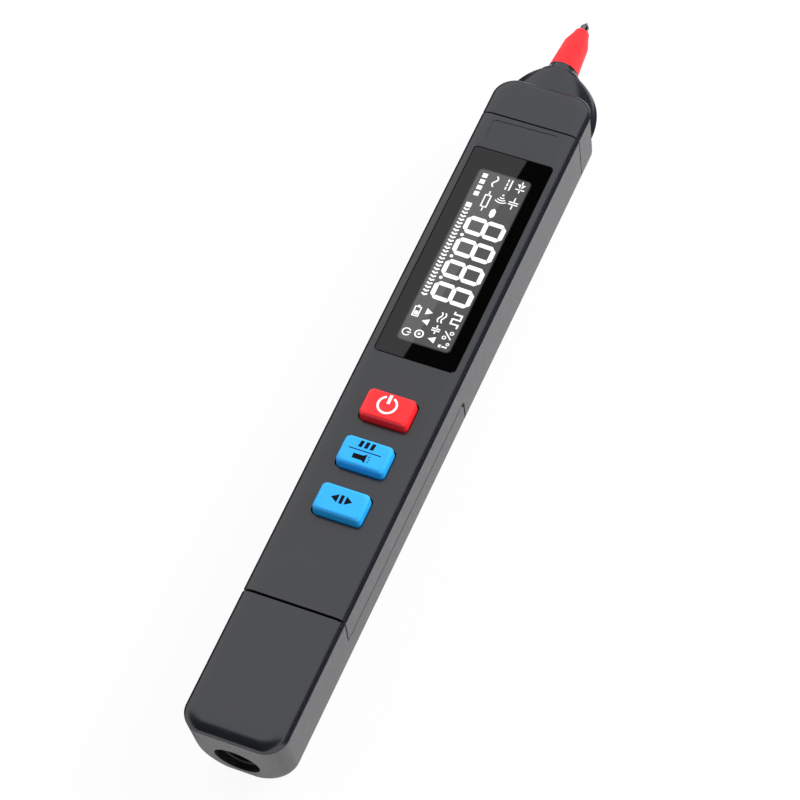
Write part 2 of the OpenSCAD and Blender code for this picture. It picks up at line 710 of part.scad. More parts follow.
// Cell, its button, the holder round it and the two contacts
y_cell = y_seam + cell_at;
cell_l = y_tongue - cell_past - cap_h - y_cell;
holder_0 = y_seam + tail_seam / 2 + bulkhead_t + 2 * sheet_t + 2 * part_fit;
holder_1 = y_tongue - part_fit;
module battery_cell() {
    color([0.2, 0.35, 0.25]) rod(cell_d / 2, y_cell, y_cell + cell_l, cell_z);
}
module battery_button() {
    color(steel) rod(cap_d / 2, y_cell + cell_l, y_cell + cell_l + cap_h, cell_z);
}
contact_w = 7;
module battery_holder() {
    x = in_x - ledge_w - slide_fit;
    top = board_z - part_fit / 2;
    bay_1 = y_cell + cell_l + cap_h + 2 * sheet_t;
    color([0.12, 0.12, 0.13]) difference() {
        block(x, holder_0, holder_1, cell_z - cell_d / 4, top);
        rod(cell_d / 2 + cell_gap, holder_0 + holder_wall, bay_1, cell_z);
        for (y = [holder_0 + holder_wall, bay_1 - 2 * sheet_t])
            block(tab_w / 2 + part_fit, y - part_fit, y + 2 * sheet_t, cell_z, top + over);
        for (y = y_screws, s = [-1, 1]) translate([s * screw_x, y, 0]) {
            cylinder(d = screw_d + 2 * part_fit, h = body_t);
            cylinder(d = screw_head_d + part_fit, h = top - 2 * wall);
        }
    }
}
module battery_leaf() {
    y0 = holder_0 + holder_wall;
    bow = y_cell - y0 - sheet_t / 2;
    color(steel) {
        block(contact_w / 2, y0, y0 + sheet_t, cell_z - contact_w / 3, cell_z + contact_w / 2);
        block(tab_w / 2, y0, y0 + sheet_t, cell_z, board_z);
        translate([0, y0 + sheet_t / 2, cell_z]) along_x(-contact_w / 4, contact_w / 4) polygon([
            [0, contact_w / 2 - 2 * sheet_t], [0, contact_w / 2 - sheet_t],
            [bow, sheet_t / 2], [bow, -sheet_t / 2],
            [0, sheet_t - contact_w / 3], [0, 2 * sheet_t - contact_w / 3],
            [bow - sheet_t, 0]]);
    }
}
module battery_plate() {
    y0 = y_cell + cell_l + cap_h;
    color(steel) {
        block(contact_w / 2, y0, y0 + 2 * sheet_t, cell_z - contact_w / 3, cell_z + contact_w / 2);
        block(tab_w / 2, y0 + sheet_t, y0 + 2 * sheet_t, cell_z, board_z);
    }
}

// Case screws, driven from the battery bay through holder and board into the front cover
screw_short = 1.2;
module case_screws() {
    head_z = board_z - part_fit / 2 - 2 * wall;
    color(steel) for (y = y_screws, s = [-1, 1]) translate([s * screw_x, y, head_z]) {
        cylinder(d = screw_d, h = z_crease - screw_short - head_z);
        translate([0, 0, -screw_head_h]) difference() {
            cylinder(d = screw_head_d - part_fit, h = screw_head_h);
            for (turn = [0, 90]) rotate(turn) translate([-screw_d / 2, -screw_d / 8, -over])
                cube([screw_d, screw_d / 4, over + screw_head_h / 2]);
        }
    }
}

// Pieces on the back of the board, spread evenly between the battery bay and the nose
chip_w = 10;
chip_h = 1.4;
pin_n = 12;
pin_w = 0.3;
pin_l = 1;
crystal_w = 3.2;
crystal_l = 8;
resistor_n = 5;
resistor_w = 1.6;
resistor_l = 3.2;
resistor_h = 0.6;
thermistor_d = 8;
thermistor_t = 3;
buzzer_d = 9;
buzzer_h = 4;
buzzer_hole_d = 1.5;
back_0 = y_tongue + side_seam + bulkhead_t;
back_1 = y_nose - nose_seam / 2 - collar_l;
back_lengths = [buzzer_d, chip_w + 2 * pin_l, crystal_w, resistor_l, thermistor_d];
function total(list, n) = n == 0 ? 0 : list[n - 1] + total(list, n - 1);
back_gap = (back_1 - back_0 - total(back_lengths, 5)) / 6;
function back_y(i) = back_0 + (i + 1) * back_gap + total(back_lengths, i) + back_lengths[i] / 2;
module buzzer() {
    color(gloss_black) translate([0, back_y(0), board_z - buzzer_h]) difference() {
        cylinder(d = buzzer_d, h = buzzer_h);
        translate([0, 0, -over]) cylinder(d = buzzer_hole_d, h = over + buzzer_h / 2);
    }
}
module meter_chip() {
    color(gloss_black) translate([0, back_y(1), board_z - pin_w - chip_h])
        linear_extrude(chip_h) pad(chip_w, chip_w, chip_w / 20);
}
module chip_pins() {
    pitch = chip_w / (pin_n + 1);
    color(steel) translate([0, back_y(1), board_z - pin_w])
        for (turn = [0:90:270]) rotate(turn) for (i = [1:pin_n])
            translate([(chip_w - pin_l) / 2, i * pitch - chip_w / 2 - pin_w / 2, 0])
                cube([1.5 * pin_l, pin_w, pin_w]);
}
module clock_crystal() {
    color(steel) translate([0, back_y(2), board_z - crystal_w]) linear_extrude(crystal_w)
        pad(crystal_l, crystal_w, crystal_w / 3);
}
module range_resistors() {
    color([0.12, 0.12, 0.14]) for (i = [0:resistor_n - 1])
        translate([(i - (resistor_n - 1) / 2) * 2 * resistor_w, back_y(3), board_z - resistor_h / 2])
            cube([resistor_w, resistor_l, resistor_h], center = true);
}
module input_thermistor() {
    color([0.75, 0.45, 0.15]) translate([0, back_y(4), board_z - thermistor_t])
        cylinder(d = thermistor_d, h = thermistor_t);
}

// Torch in the back of the nose, below the probe
module torch_led() {
    y1 = y_block - torch_t;
    color([0.95, 0.93, 0.7]) rod(led_d / 2, y1 - 2 * led_d, y1, torch_z);
}
module torch_lens() {
    color([0.85, 0.9, 0.95]) rod(torch_d / 2, y_block - torch_t, y_block - slice_t, torch_z);
}

front_cover();
main_housing();
nose_cap();
battery_cover();
display_window();
lcd_panel();
lcd_backlight();
lcd_frame();
lcd_contact_strip();
main_board();
power_button();
light_button();
select_button();
key_switches();
power_plunger();
light_plunger();
select_plunger();
probe_needle();
probe_collet();
probe_clip();
probe_sleeve();
com_contact();
com_insulator();
com_tab();
battery_cell();
battery_button();
battery_holder();
battery_leaf();
battery_plate();
case_screws();
meter_chip();
chip_pins();
clock_crystal();
range_resistors();
input_thermistor();
buzzer();
torch_led();
torch_lens();
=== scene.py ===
# %% [markdown]
# A pen multimeter is a long plastic case with a needle at one end and a test lead socket at the other.
# The construction is already there as a fixed frame, so this script only dresses it: finer shells over
# the plain ones, the finish of every surface, the display's picture, the light and the camera.

import json
import math

import bmesh
import bpy
from mathutils import Matrix, Vector


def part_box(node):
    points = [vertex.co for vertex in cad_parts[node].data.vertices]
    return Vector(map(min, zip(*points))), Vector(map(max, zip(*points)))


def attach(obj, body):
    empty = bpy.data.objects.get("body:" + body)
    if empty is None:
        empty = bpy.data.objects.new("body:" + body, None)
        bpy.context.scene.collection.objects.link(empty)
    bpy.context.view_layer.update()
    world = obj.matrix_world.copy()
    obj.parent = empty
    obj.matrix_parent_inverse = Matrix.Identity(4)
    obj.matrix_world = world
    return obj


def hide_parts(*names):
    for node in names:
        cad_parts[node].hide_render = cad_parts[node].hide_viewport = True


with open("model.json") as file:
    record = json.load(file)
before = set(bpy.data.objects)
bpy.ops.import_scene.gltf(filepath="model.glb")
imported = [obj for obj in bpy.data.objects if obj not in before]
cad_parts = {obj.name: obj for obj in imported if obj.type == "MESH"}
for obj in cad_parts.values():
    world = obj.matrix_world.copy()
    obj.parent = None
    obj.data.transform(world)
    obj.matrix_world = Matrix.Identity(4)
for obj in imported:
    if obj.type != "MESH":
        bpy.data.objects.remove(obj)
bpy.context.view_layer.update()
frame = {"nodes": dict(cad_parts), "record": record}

MM = 0.001
face_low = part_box("front_cover")[0]
tub_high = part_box("main_housing")[1]
cover_low, cover_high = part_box("battery_cover")
window_low, window_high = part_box("display_window")
sleeve_low, sleeve_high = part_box("probe_sleeve")
needle_low, needle_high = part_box("probe_needle")
HALF_W = tub_high.x
TOP = cover_high.z
CREASE = tub_high.z
TAIL = cover_low.y
SEAM_GAP = 0.5 * MM
SEAM = face_low.y - SEAM_GAP / 2
NOSE_GAP = 0.3 * MM
NOSE = tub_high.y + NOSE_GAP / 2
TONGUE = cover_high.y
NECK = sleeve_low.y
print("case", round(HALF_W * 2 / MM, 2), "wide, seams at", round(SEAM / MM, 2), round(NOSE / MM, 2))

# %% [markdown]
# Every shell of the case shares a few shapes: the rounded front edge, the round back edges and the
# corner radius. Each piece could state its own, but stated once they make sure that the pieces that meet
# at a seam really meet. The mouldings end half a gap before each seam.

# %% Shared sizes of the case
COVER_END = SEAM - SEAM_GAP / 2
MAIN_START = SEAM + SEAM_GAP / 2
MAIN_END = NOSE - NOSE_GAP / 2
NOSE_START = NOSE + NOSE_GAP / 2
CORNER_R = 4.8 * MM
CROWN_W = 2.6 * MM
CROWN_H = TOP - CREASE
BACK_R = 6.3 * MM
TAIL_TILT = math.radians(8.2)
TAIL_ROUND = 0.9 * MM
SIDE_SEAM_Z = 10.6 * MM
SIDE_GAP = 0.65 * MM
PART_GAP = 0.15 * MM
TONGUE_R = 1.4 * MM
WALL = 1.3 * MM
PLATE_END = NOSE + 10.5 * MM
BLOCK_END = NOSE + 7 * MM
DOME_L = 9.6 * MM
PROBE_Z = (needle_low.z + needle_high.z) / 2
SOCKET_Z = 7 * MM
QUARTER = 12
EDGE = 0.14 * MM
INNER_EDGE = 0.08 * MM
CRISP = 0.05 * MM
OVER = 1 * MM
print("front rolled over", CROWN_W / MM, "by", round(CROWN_H / MM, 2), "round back", BACK_R / MM)


# %% [markdown]
# Most moulded shapes are stacks of rounded outlines. They could be drawn corner by corner, but one helper
# makes such an outline from a circle whose quarters are pushed apart, and another joins a stack of
# outlines into a skin. So every ring has the same number of points, and the skin has no twists.

# %% Outlines and skins
MERGE = 0.002 * MM


def ring_edges(verts):
    return list({edge for vert in verts for edge in vert.link_edges})


def verts_in(geom):
    return [item for item in geom if isinstance(item, bmesh.types.BMVert)]


def rounded_ring(bm, x, y0, y1, tail_r, nose_r, z):
    turn = math.pi / (4 * QUARTER)
    circle = bmesh.ops.create_circle(bm, radius=1 / math.cos(turn), segments=4 * QUARTER,
                                     matrix=Matrix.Rotation(turn, 4, "Z"))
    for vert in circle["verts"]:
        right = math.copysign(1, vert.co.x)
        at_nose = vert.co.y > 0
        r = nose_r if at_nose else tail_r
        y = y1 - r if at_nose else y0 + r
        vert.co = (vert.co.x * r + right * (x - r), vert.co.y * r + y, z)
    return ring_edges(circle["verts"])


def skin(bm, rings, closed=(True, True)):
    for lower, upper in zip(rings, rings[1:]):
        bmesh.ops.bridge_loops(bm, edges=lower + upper)
    for ring, wanted in zip((rings[0], rings[-1]), closed):
        if wanted:
            bmesh.ops.edgeloop_fill(bm, edges=ring)
    bmesh.ops.recalc_face_normals(bm, faces=bm.faces[:])


def cut_flat(bm, point, normal, fill=True):
    cut = bmesh.ops.bisect_plane(bm, geom=bm.verts[:] + bm.edges[:] + bm.faces[:], plane_co=point,
                                 plane_no=normal, clear_outer=True)
    if fill:
        edges = [item for item in cut["geom_cut"] if isinstance(item, bmesh.types.BMEdge)]
        bmesh.ops.edgeloop_fill(bm, edges=edges)


def rectangle(x0, x1, y0, y1):
    return [(x0, y0), (x1, y0), (x1, y1), (x0, y1)]


def prism(axis, points, start, end, rounds=()):
    """A flat outline, with some corners rounded, pulled out along X, Y or Z."""
    bm = bmesh.new()
    place = {"X": lambda a, b: (start, a, b), "Y": lambda a, b: (a, start, b),
             "Z": lambda a, b: (a, b, start)}
    verts = [bm.verts.new(place[axis](*point)) for point in points]
    bm.faces.new(verts)
    for vert, r in zip(verts, rounds):
        if r:
            bmesh.ops.bevel(bm, geom=[vert], offset=r, affect="VERTICES", segments=QUARTER,
                            profile=0.5, material=-1)
    pulled = bmesh.ops.extrude_face_region(bm, geom=bm.faces[:])
    travel = Vector([end - start if name == axis else 0 for name in "XYZ"])
    bmesh.ops.translate(bm, verts=verts_in(pulled["geom"]), vec=travel)
    bmesh.ops.recalc_face_normals(bm, faces=bm.faces[:])
    return bm


def lathe(profile, z=PROBE_Z, segments=64):
    """Spins a profile of (radius, y) points round an axis along Y at a height."""
    bm = bmesh.new()
    verts = [bm.verts.new((radius, y, z)) for radius, y in profile]
    edges = [bm.edges.new(pair) for pair in zip(verts, verts[1:])]
    bmesh.ops.spin(bm, geom=verts + edges, cent=(0, 0, z), axis=(0, 1, 0), angle=math.tau, steps=segments,
                   use_merge=True)
    bmesh.ops.remove_doubles(bm, verts=bm.verts[:], dist=MERGE)
    bmesh.ops.recalc_face_normals(bm, faces=bm.faces[:])
    return bm


# %% [markdown]
# No moulded edge is knife sharp, and a real one shows as a thin line of light. So a finished piece gets a
# small rounding along every hard edge, smooth faces, and normals that keep the broad faces flat. Bevel
# and Weighted Normal modifiers do that for any shape, so no piece has to be modelled with its edges.

# %% From mesh to finished piece
SHARP = math.radians(32)
EDGE_STEPS = 3
SLOTS = {row["node"]: row["material_slot"] for row in frame["record"]["subparts"]}


def to_object(name, bm):
    mesh = bpy.data.meshes.new(name)
    bm.to_mesh(mesh)
    bm.free()
    piece = bpy.data.objects.new(name, mesh)
    bpy.context.scene.collection.objects.link(piece)
    return piece


def bake_modifiers(piece):
    graph = bpy.context.evaluated_depsgraph_get()
    mesh = bpy.data.meshes.new_from_object(piece.evaluated_get(graph))
    piece.modifiers.clear()
    old = piece.data
    piece.data = mesh
    bpy.data.meshes.remove(old)


def combine(piece, bm, operation):
    """Cuts a shape out of a piece, or joins it on."""
    tool = to_object("tool", bm)
    change = piece.modifiers.new("change", "BOOLEAN")
    change.operation = operation
    change.solver = "EXACT"
    change.object = tool
    bake_modifiers(piece)
    bpy.data.objects.remove(tool)


def finish(piece, material, body, replaces=None, edge=EDGE):
    mesh = piece.data
    mesh.materials.clear()
    mesh.materials.append(material)
    mesh.polygons.foreach_set("use_smooth", [True] * len(mesh.polygons))
    if edge:
        mesh.set_sharp_from_angle(angle=SHARP)
        rounding = piece.modifiers.new("rounding", "BEVEL")
        rounding.width = edge
        rounding.segments = EDGE_STEPS
        rounding.limit_method = "ANGLE"
        rounding.angle_limit = SHARP
        rounding.use_clamp_overlap = True
        bake_modifiers(piece)
        piece.data.polygons.foreach_set("use_smooth", [True] * len(piece.data.polygons))
    piece.data.set_sharp_from_angle(angle=SHARP)
    flat = piece.modifiers.new("flat", "WEIGHTED_NORMAL")
    flat.keep_sharp = True
    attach(piece, body)
    if replaces:
        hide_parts(replaces)
    print(piece.name, len(piece.data.polygons), "faces")


def turned(name, profile, material, body, replaces, z=PROBE_Z, segments=64):
    """A lathe-turned piece, whose roundings are part of its half outline."""
    finish(to_object(name, lathe(profile, z, segments)), material, body, replaces, edge=0)


# %% [markdown]
# Materials are written as sums. A small class wraps a socket, so an expression on it adds the Math
# nodes that work it out, and one method makes any other node.

# %% A small shader language
class Shade:
    def __init__(self, tree, socket):
        self.tree = tree
        self.socket = socket

    def math(self, operation, other, swap=False):
        node = self.tree.nodes.new("ShaderNodeMath")
        node.operation = operation
        for slot, value in zip(node.inputs, (other, self) if swap else (self, other)):
            plug(self.tree, slot, value)
        return Shade(self.tree, node.outputs[0])

    def __add__(self, other):
        return self.math("ADD", other)

    def __sub__(self, other):
        return self.math("SUBTRACT", other)

    def __rsub__(self, other):
        return self.math("SUBTRACT", other, swap=True)

    def __mul__(self, other):
        return self.math("MULTIPLY", other)

    __radd__ = __add__
    __rmul__ = __mul__


def plug(tree, slot, value):
    if isinstance(value, Shade):
        tree.links.new(value.socket, slot)
    else:
        slot.default_value = value


class Nodes:
    """Adds nodes to one tree, of a material or of the world."""

    def __init__(self, tree):
        self.tree = tree

    def node(self, kind, settings=None, output=0, **values):
        made = self.tree.nodes.new("ShaderNode" + kind)
        for name, value in (settings or {}).items():
            setattr(made, name, value)
        for name, value in values.items():
            plug(self.tree, made.inputs[name.replace("_", " ")], value)
        return Shade(self.tree, made.outputs[output])

    def place(self):
        return self.node("TexCoord", output="Object")

    def parts(self):
        """The X, Y and Z of the place on the object."""
        split = self.tree.nodes.new("ShaderNodeSeparateXYZ")
        plug(self.tree, split.inputs[0], self.place())
        return [Shade(self.tree, socket) for socket in split.outputs]

    def noise(self, scale, detail=2.0, rough=0.5):
        """Noise with its scale in features per millimetre."""
        return self.node("TexNoise", Vector=self.place(), Scale=scale / MM, Detail=detail, Roughness=rough)

    def fade(self, value, start, end):
        """0 at one value and 1 at another, with a soft start and end."""
        return self.node("MapRange", {"interpolation_type": "SMOOTHSTEP"}, Value=value, From_Min=start,
                         From_Max=end)

    def mix(self, share, first, second):
        made = self.tree.nodes.new("ShaderNodeMix")
        made.data_type = "RGBA"
        plug(self.tree, made.inputs[0], share)
        for slot, value in ((made.inputs[6], first), (made.inputs[7], second)):
            plug(self.tree, slot, value if isinstance(value, Shade) else (*value, 1.0))
        return Shade(self.tree, made.outputs[2])


class Finish(Nodes):
    """A node material for one kind of surface."""

    def __init__(self, name):
        self.material = bpy.data.materials.new(name)
        self.material.use_nodes = True
        super().__init__(self.material.node_tree)
        self.shader = self.tree.nodes["Principled BSDF"]

    def set(self, **values):
        for name, value in values.items():
            slot = self.shader.inputs[name.replace("_", " ")]
            plug(self.tree, slot, (*value, 1.0) if isinstance(value, tuple) else value)
        return self

    def bump(self, height, strength, distance):
        return self.set(Normal=self.node("Bump", Strength=strength, Distance=distance * MM, Height=height))


def linear(level):
    """The linear value for a level as a picture shows it, from 0 to 255."""
    share = level / 255
    return share / 12.92 if level < 10 else ((share + 0.055) / 1.055) ** 2.4


def colour(red, green, blue):
    return linear(red), linear(green), linear(blue)


def grey(level):
    return colour(level, level, level)


# %% [markdown]
# The case is one dark plastic in two textures. The front's mould is spark-eroded to a silky satin, and
# the sides and the socket end have a coarser grain that catches more light. Inside, where nobody looks,
# the mould is plain. A picture of each grain would need seams and would blur in a close view, so noise in
# the object's own space makes it: it changes the colour a little, the roughness, and the bump.

# %% Case plastics
def satin_plastic():
    made = Finish("satin_plastic")
    grain = made.noise(9.0, detail=3.0)
    cloud = made.noise(0.12)
    made.set(Base_Color=made.mix(cloud, colour(24, 26, 32), colour(28, 30, 36)), Roughness=0.2 + 0.05 * cloud,
             IOR=1.7)
    return made.bump(grain, 0.05, 0.02).material


def grained_plastic():
    made = Finish("grained_plastic")
    grain = made.noise(5.0, detail=4.0, rough=0.65)
    speck = made.noise(3.4, detail=4.0, rough=0.7)
    made.set(Base_Color=made.mix(speck, colour(58, 58, 59), colour(136, 136, 138)),
             Roughness=0.55 + 0.12 * grain)
    return made.bump(grain, 0.75, 0.08).material


def moulded_inside():
    made = Finish("moulded_inside")
    grain = made.noise(3.0, detail=3.0)
    cloud = made.noise(0.4)
    made.set(Base_Color=made.mix(cloud, grey(24), grey(30)), Roughness=0.4 + 0.1 * grain)
    return made.bump(grain, 0.1, 0.03).material


SATIN = satin_plastic()
INSIDE_BLACK = moulded_inside()
GRAINED = grained_plastic()
print("case finishes:", SATIN.name, GRAINED.name, INSIDE_BLACK.name)


# %% [markdown]
# The front of the real case is one long pillow: flat in the middle, and rolled over at its edges and
# round the tail. Three mouldings share it. Each could be a block with bevelled edges, but their edges
# would not run on into each other. So the pillow is lofted once from the tail to the nose plate, and each
# moulding is the stretch between two seams, cut off with flat planes.

# %% The crowned front
CROWN_STEPS = 10
NOSE_SHARE = 0.55


def crowned_front(bm):
    """Rings that follow a quarter circle from the crease up to the flat front."""
    rings = []
    for step in range(CROWN_STEPS + 1):
        angle = math.pi / 2 * step / CROWN_STEPS
        inset = CROWN_W * (1 - math.cos(angle))
        rings.append(rounded_ring(bm, HALF_W - inset, TAIL + inset, PLATE_END - NOSE_SHARE * inset,
                                  CORNER_R - inset / 2, CORNER_R - inset / 2,
                                  CREASE + PART_GAP + (CROWN_H - PART_GAP) * math.sin(angle)))
    skin(bm, rings)


def front_stretch(name, start, end):
    bm = bmesh.new()
    crowned_front(bm)
    if start is not None:
        cut_flat(bm, (0, start, 0), (0, -1, 0))
    if end is not None:
        cut_flat(bm, (0, end, 0), (0, 1, 0))
    bmesh.ops.recalc_face_normals(bm, faces=bm.faces[:])
    return to_object(name, bm)


front_face = front_stretch("front_face", MAIN_START, MAIN_END)
tail_face = front_stretch("tail_face", None, COVER_END)
nose_plate = front_stretch("nose_plate", NOSE_START, None)
print("front cut into", front_face.name, tail_face.name, nose_plate.name)

# %% [markdown]
# Printed signs are thin films of paint. They could be a mask in a finish, but a film of real thickness
# keeps its edge in a close view. A stroke is a strip of wall given its width by a Solidify modifier, a
# filled sign is a flat outline pulled up, and all strokes of one print are gathered in one mesh.

# %% Thin prints
PRINT = 0.015 * MM


def gather(bm, part):
    mesh = bpy.data.meshes.new("part")
    part.to_mesh(mesh)
    part.free()
    bm.from_mesh(mesh)
    bpy.data.meshes.remove(mesh)


def stroke(bm, points, width, z0, z1, closed=False):
    line = bmesh.new()
    verts = [line.verts.new((x, y, z0)) for x, y in points]
    pairs = list(zip(verts, verts[1:])) + ([(verts[-1], verts[0])] if closed else [])
    edges = [line.edges.new(pair) for pair in pairs]
    raised = bmesh.ops.extrude_edge_only(line, edges=edges)["geom"]
    bmesh.ops.translate(line, verts=verts_in(raised), vec=(0, 0, z1 - z0))
    strip = to_object("strip", line)
    wide = strip.modifiers.new("wide", "SOLIDIFY")
    wide.thickness = width
    wide.offset = 0
    wide.use_even_offset = True
    bake_modifiers(strip)
    bm.from_mesh(strip.data)
    bpy.data.objects.remove(strip)


def arc(centre, r, start, end, steps=24):
    turns = [math.radians(start + (end - start) * step / steps) for step in range(steps + 1)]
    return [(centre[0] + r * math.cos(turn), centre[1] + r * math.sin(turn)) for turn in turns]


def paint(name, shade, other, ior=1.45):
    made = Finish(name)
    cloud = made.noise(1.5)
    return made.set(Base_Color=made.mix(cloud, shade, other), Roughness=0.4 + 0.1 * cloud, IOR=ior).material


WHITE_PAINT = paint("white_paint", grey(246), grey(238))
BLACK_PAINT = paint("black_paint", grey(8), grey(14), ior=1.2)
print("prints are", PRINT / MM, "mm of", WHITE_PAINT.name, "or", BLACK_PAINT.name)


def printed(name, bm, material, body, replaces=None):
    bmesh.ops.recalc_face_normals(bm, faces=bm.faces[:])
    finish(to_object(name, bm), material, body, replaces, edge=0)


# %% [markdown]
# The window lies in a shallow recess, each key comes through its own opening, and a fine line is engraved
# on the nose side of the window. All are cut out of the front with Boolean modifiers, because their
# sharp outlines have nothing to do with the rings of the loft. Each opening has the outline of the piece
# that goes there, grown by its gap.

# %% Openings in the front
KEY_NODES = ("power_button", "light_button", "select_button")
KEY_W = 10.8 * MM
KEY_L = 7 * MM
KEY_R = 1.1 * MM
KEY_GAP = 0.2 * MM
WINDOW_R = 1 * MM
WINDOW_GAP = 0.1 * MM
ENGRAVED = 0.12 * MM
LINE_W = 0.2 * MM


def plan_block(x, y0, y1, r, z0, z1):
    return prism("Z", rectangle(-x, x, y0, y1), z0, z1, [r] * 4)


key_middles = [(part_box(node)[0].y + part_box(node)[1].y) / 2 for node in KEY_NODES]
recess = plan_block(window_high.x + WINDOW_GAP, window_low.y - WINDOW_GAP, window_high.y + WINDOW_GAP,
                    WINDOW_R, window_low.z - WINDOW_GAP / 2, TOP + OVER)
combine(front_face, recess, "DIFFERENCE")
for middle in key_middles:
    opening = plan_block(KEY_W / 2 + KEY_GAP, middle - KEY_L / 2 - KEY_GAP, middle + KEY_L / 2 + KEY_GAP,
                         KEY_R + KEY_GAP, CREASE - OVER, TOP + OVER)
    combine(front_face, opening, "DIFFERENCE")
line_points = [(-7.6, 55.0), (-7.7, 59.9), (-7.1, 60.3), (6.4, 60.6)]
engraved = bmesh.new()
stroke(engraved, [(x * MM, y * MM) for x, y in line_points], LINE_W, TOP - ENGRAVED, TOP + OVER)
combine(front_face, engraved, "DIFFERENCE")
finish(front_face, SATIN, "meter", "front_cover")
finish(tail_face, SATIN, "cover", "battery_cover")
finish(nose_plate, SATIN, "meter", "nose_cap")

# %% [markdown]
# Behind the front the case is a tub with round back edges. It could be a solid block that is hollowed
# out, but a real moulding has one wall thickness all over. So its outer skin is lofted from the crease
# down to the back, and a Solidify modifier gives it that wall.

# %% The skin of the tub
BACK_STEPS = 14


def tub_skin(y0, y1, tilt):
    """The tub between two ends. The tail end leans by the tilt and turns into the back with a small round."""
    bm = bmesh.new()
    rings = [rounded_ring(bm, HALF_W, y0, y1, CORNER_R, PART_GAP, CREASE - PART_GAP)]
    for step in range(BACK_STEPS + 1):
        angle = math.pi / 2 * step / BACK_STEPS
        z = BACK_R * (1 - math.sin(angle))
        x = HALF_W - BACK_R * (1 - math.cos(angle))
        lift = max(0, TAIL_ROUND - z)
        fillet = TAIL_ROUND - math.sqrt(TAIL_ROUND ** 2 - lift ** 2)
        start = y0 + (CREASE - z) * math.tan(tilt) + fillet
        rings.append(rounded_ring(bm, x, start, y1, min(CORNER_R, x * 0.99), PART_GAP, z))
    skin(bm, rings, closed=(False, True))
    return bm


def walled(name, bm):
    piece = to_object(name, bm)
    wall = piece.modifiers.new("wall", "SOLIDIFY")
    wall.thickness = WALL
    wall.offset = -1
    wall.use_even_offset = True
    bake_modifiers(piece)
    return piece


# %% [markdown]
# The battery cover closes the tail. It is one sliding piece: a cap with the socket's mouth, and a long
# tongue along the back that ends in finger ribs. Cap, tongue and tub are parts of the same skin, so the
# cover is that skin cut to the outline of its side. Its rails hold it in the tub.

# %% The battery cover
LONG = 1.2 * HALF_W
MOUTH_R = 4.85 * MM
RIB_N = 7
RIB_PITCH = 1.8 * MM
RIB_HALF = 3.7 * MM
RIB_DEPTH = 0.35 * MM
COLLAR_L = 2.2 * MM
cover_bm = tub_skin(TAIL, TONGUE + OVER, TAIL_TILT)
cut_flat(cover_bm, (0, TONGUE + OVER / 2, 0), (0, 1, 0), fill=False)
cover_shell = walled("cover_shell", cover_bm)
cover_side = [(TAIL - OVER, -OVER), (TONGUE, -OVER), (TONGUE, SIDE_SEAM_Z), (COVER_END, SIDE_SEAM_Z),
              (COVER_END, TOP), (TAIL - OVER, TOP)]
combine(cover_shell, prism("X", cover_side, -LONG, LONG, [0, 0, TONGUE_R]), "INTERSECT")
mouth = lathe([(0, TAIL - OVER), (MOUTH_R, TAIL - OVER), (MOUTH_R, TAIL + CORNER_R), (0, TAIL + CORNER_R)],
              SOCKET_Z)
combine(cover_shell, mouth, "DIFFERENCE")
for rib in range(RIB_N):
    rib_y = TONGUE - 3 * TONGUE_R - (rib + 1) * RIB_PITCH
    groove = plan_block(RIB_HALF, rib_y, rib_y + RIB_PITCH / 2, RIB_PITCH / 5, -OVER, RIB_DEPTH)
    combine(cover_shell, groove, "DIFFERENCE")
finish(cover_shell, GRAINED, "cover", "battery_cover", edge=CRISP)
rail_outline = [(8.7, 8.3), (9.85, 8.3), (9.85, 9.45), (9.4, 9.45), (9.4, 11.35), (9.95, 11.35),
                (9.95, 11.75), (8.7, 11.75)]
rails = bmesh.new()
for side in (-1, 1):
    outline = [(side * x * MM, z * MM) for x, z in rail_outline]
    gather(rails, prism("Y", outline, SEAM + COLLAR_L, TONGUE - COLLAR_L - TONGUE_R))
finish(to_object("cover_rails", rails), INSIDE_BLACK, "cover", "battery_cover", edge=INNER_EDGE)

# %% [markdown]
# The main housing is the same skin again, from the seam to the nose, with the battery bay cut out of its
# back. The bay is the cover's outline grown by the gap that shows as the dark parting line.

# %% The tub
tub_bm = tub_skin(SEAM - 2 * CORNER_R, NOSE + 2 * OVER, 0)
cut_flat(tub_bm, (0, MAIN_START, 0), (0, -1, 0), fill=False)
cut_flat(tub_bm, (0, MAIN_END, 0), (0, 1, 0), fill=False)
tub = walled("tub", tub_bm)
bay_end = TONGUE + SIDE_GAP
bay_side = rectangle(SEAM - OVER, bay_end, -OVER, SIDE_SEAM_Z + SIDE_GAP)
combine(tub, prism("X", bay_side, -LONG, LONG, [0, 0, TONGUE_R]), "DIFFERENCE")
finish(tub, GRAINED, "meter", "main_housing", edge=CRISP)

# %% [markdown]
# Inside, the tub has a collar that the cover slides over, a bulkhead at the end of the battery bay and a
# ledge along each side for the board. They are moulded with the tub, and show once the cover is off. All
# have straight walls, so each is an outline of the tub's inside pulled along it.

# %% Inside of the tub
LOW = WALL + 0.3 * MM
INNER_X = HALF_W - LOW
BOARD_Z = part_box("main_board")[0].z
BULKHEAD_T = 1.2 * MM
BULKHEAD_SINK = 0.3 * MM
COLLAR_T = 0.8 * MM
CONTACT_WAY = 2.6 * MM
LEDGE = 0.9 * MM
LEDGE_SINK = 0.4 * MM
LEDGE_STOP = 4 * MM


def bay_plate(inset, top, start, end):
    """A slice of the tub's inside, drawn in from its wall by an inset."""
    x = INNER_X - inset
    return prism("Y", rectangle(-x, x, LOW + inset, top), start, end, [BACK_R - LOW - inset] * 2)


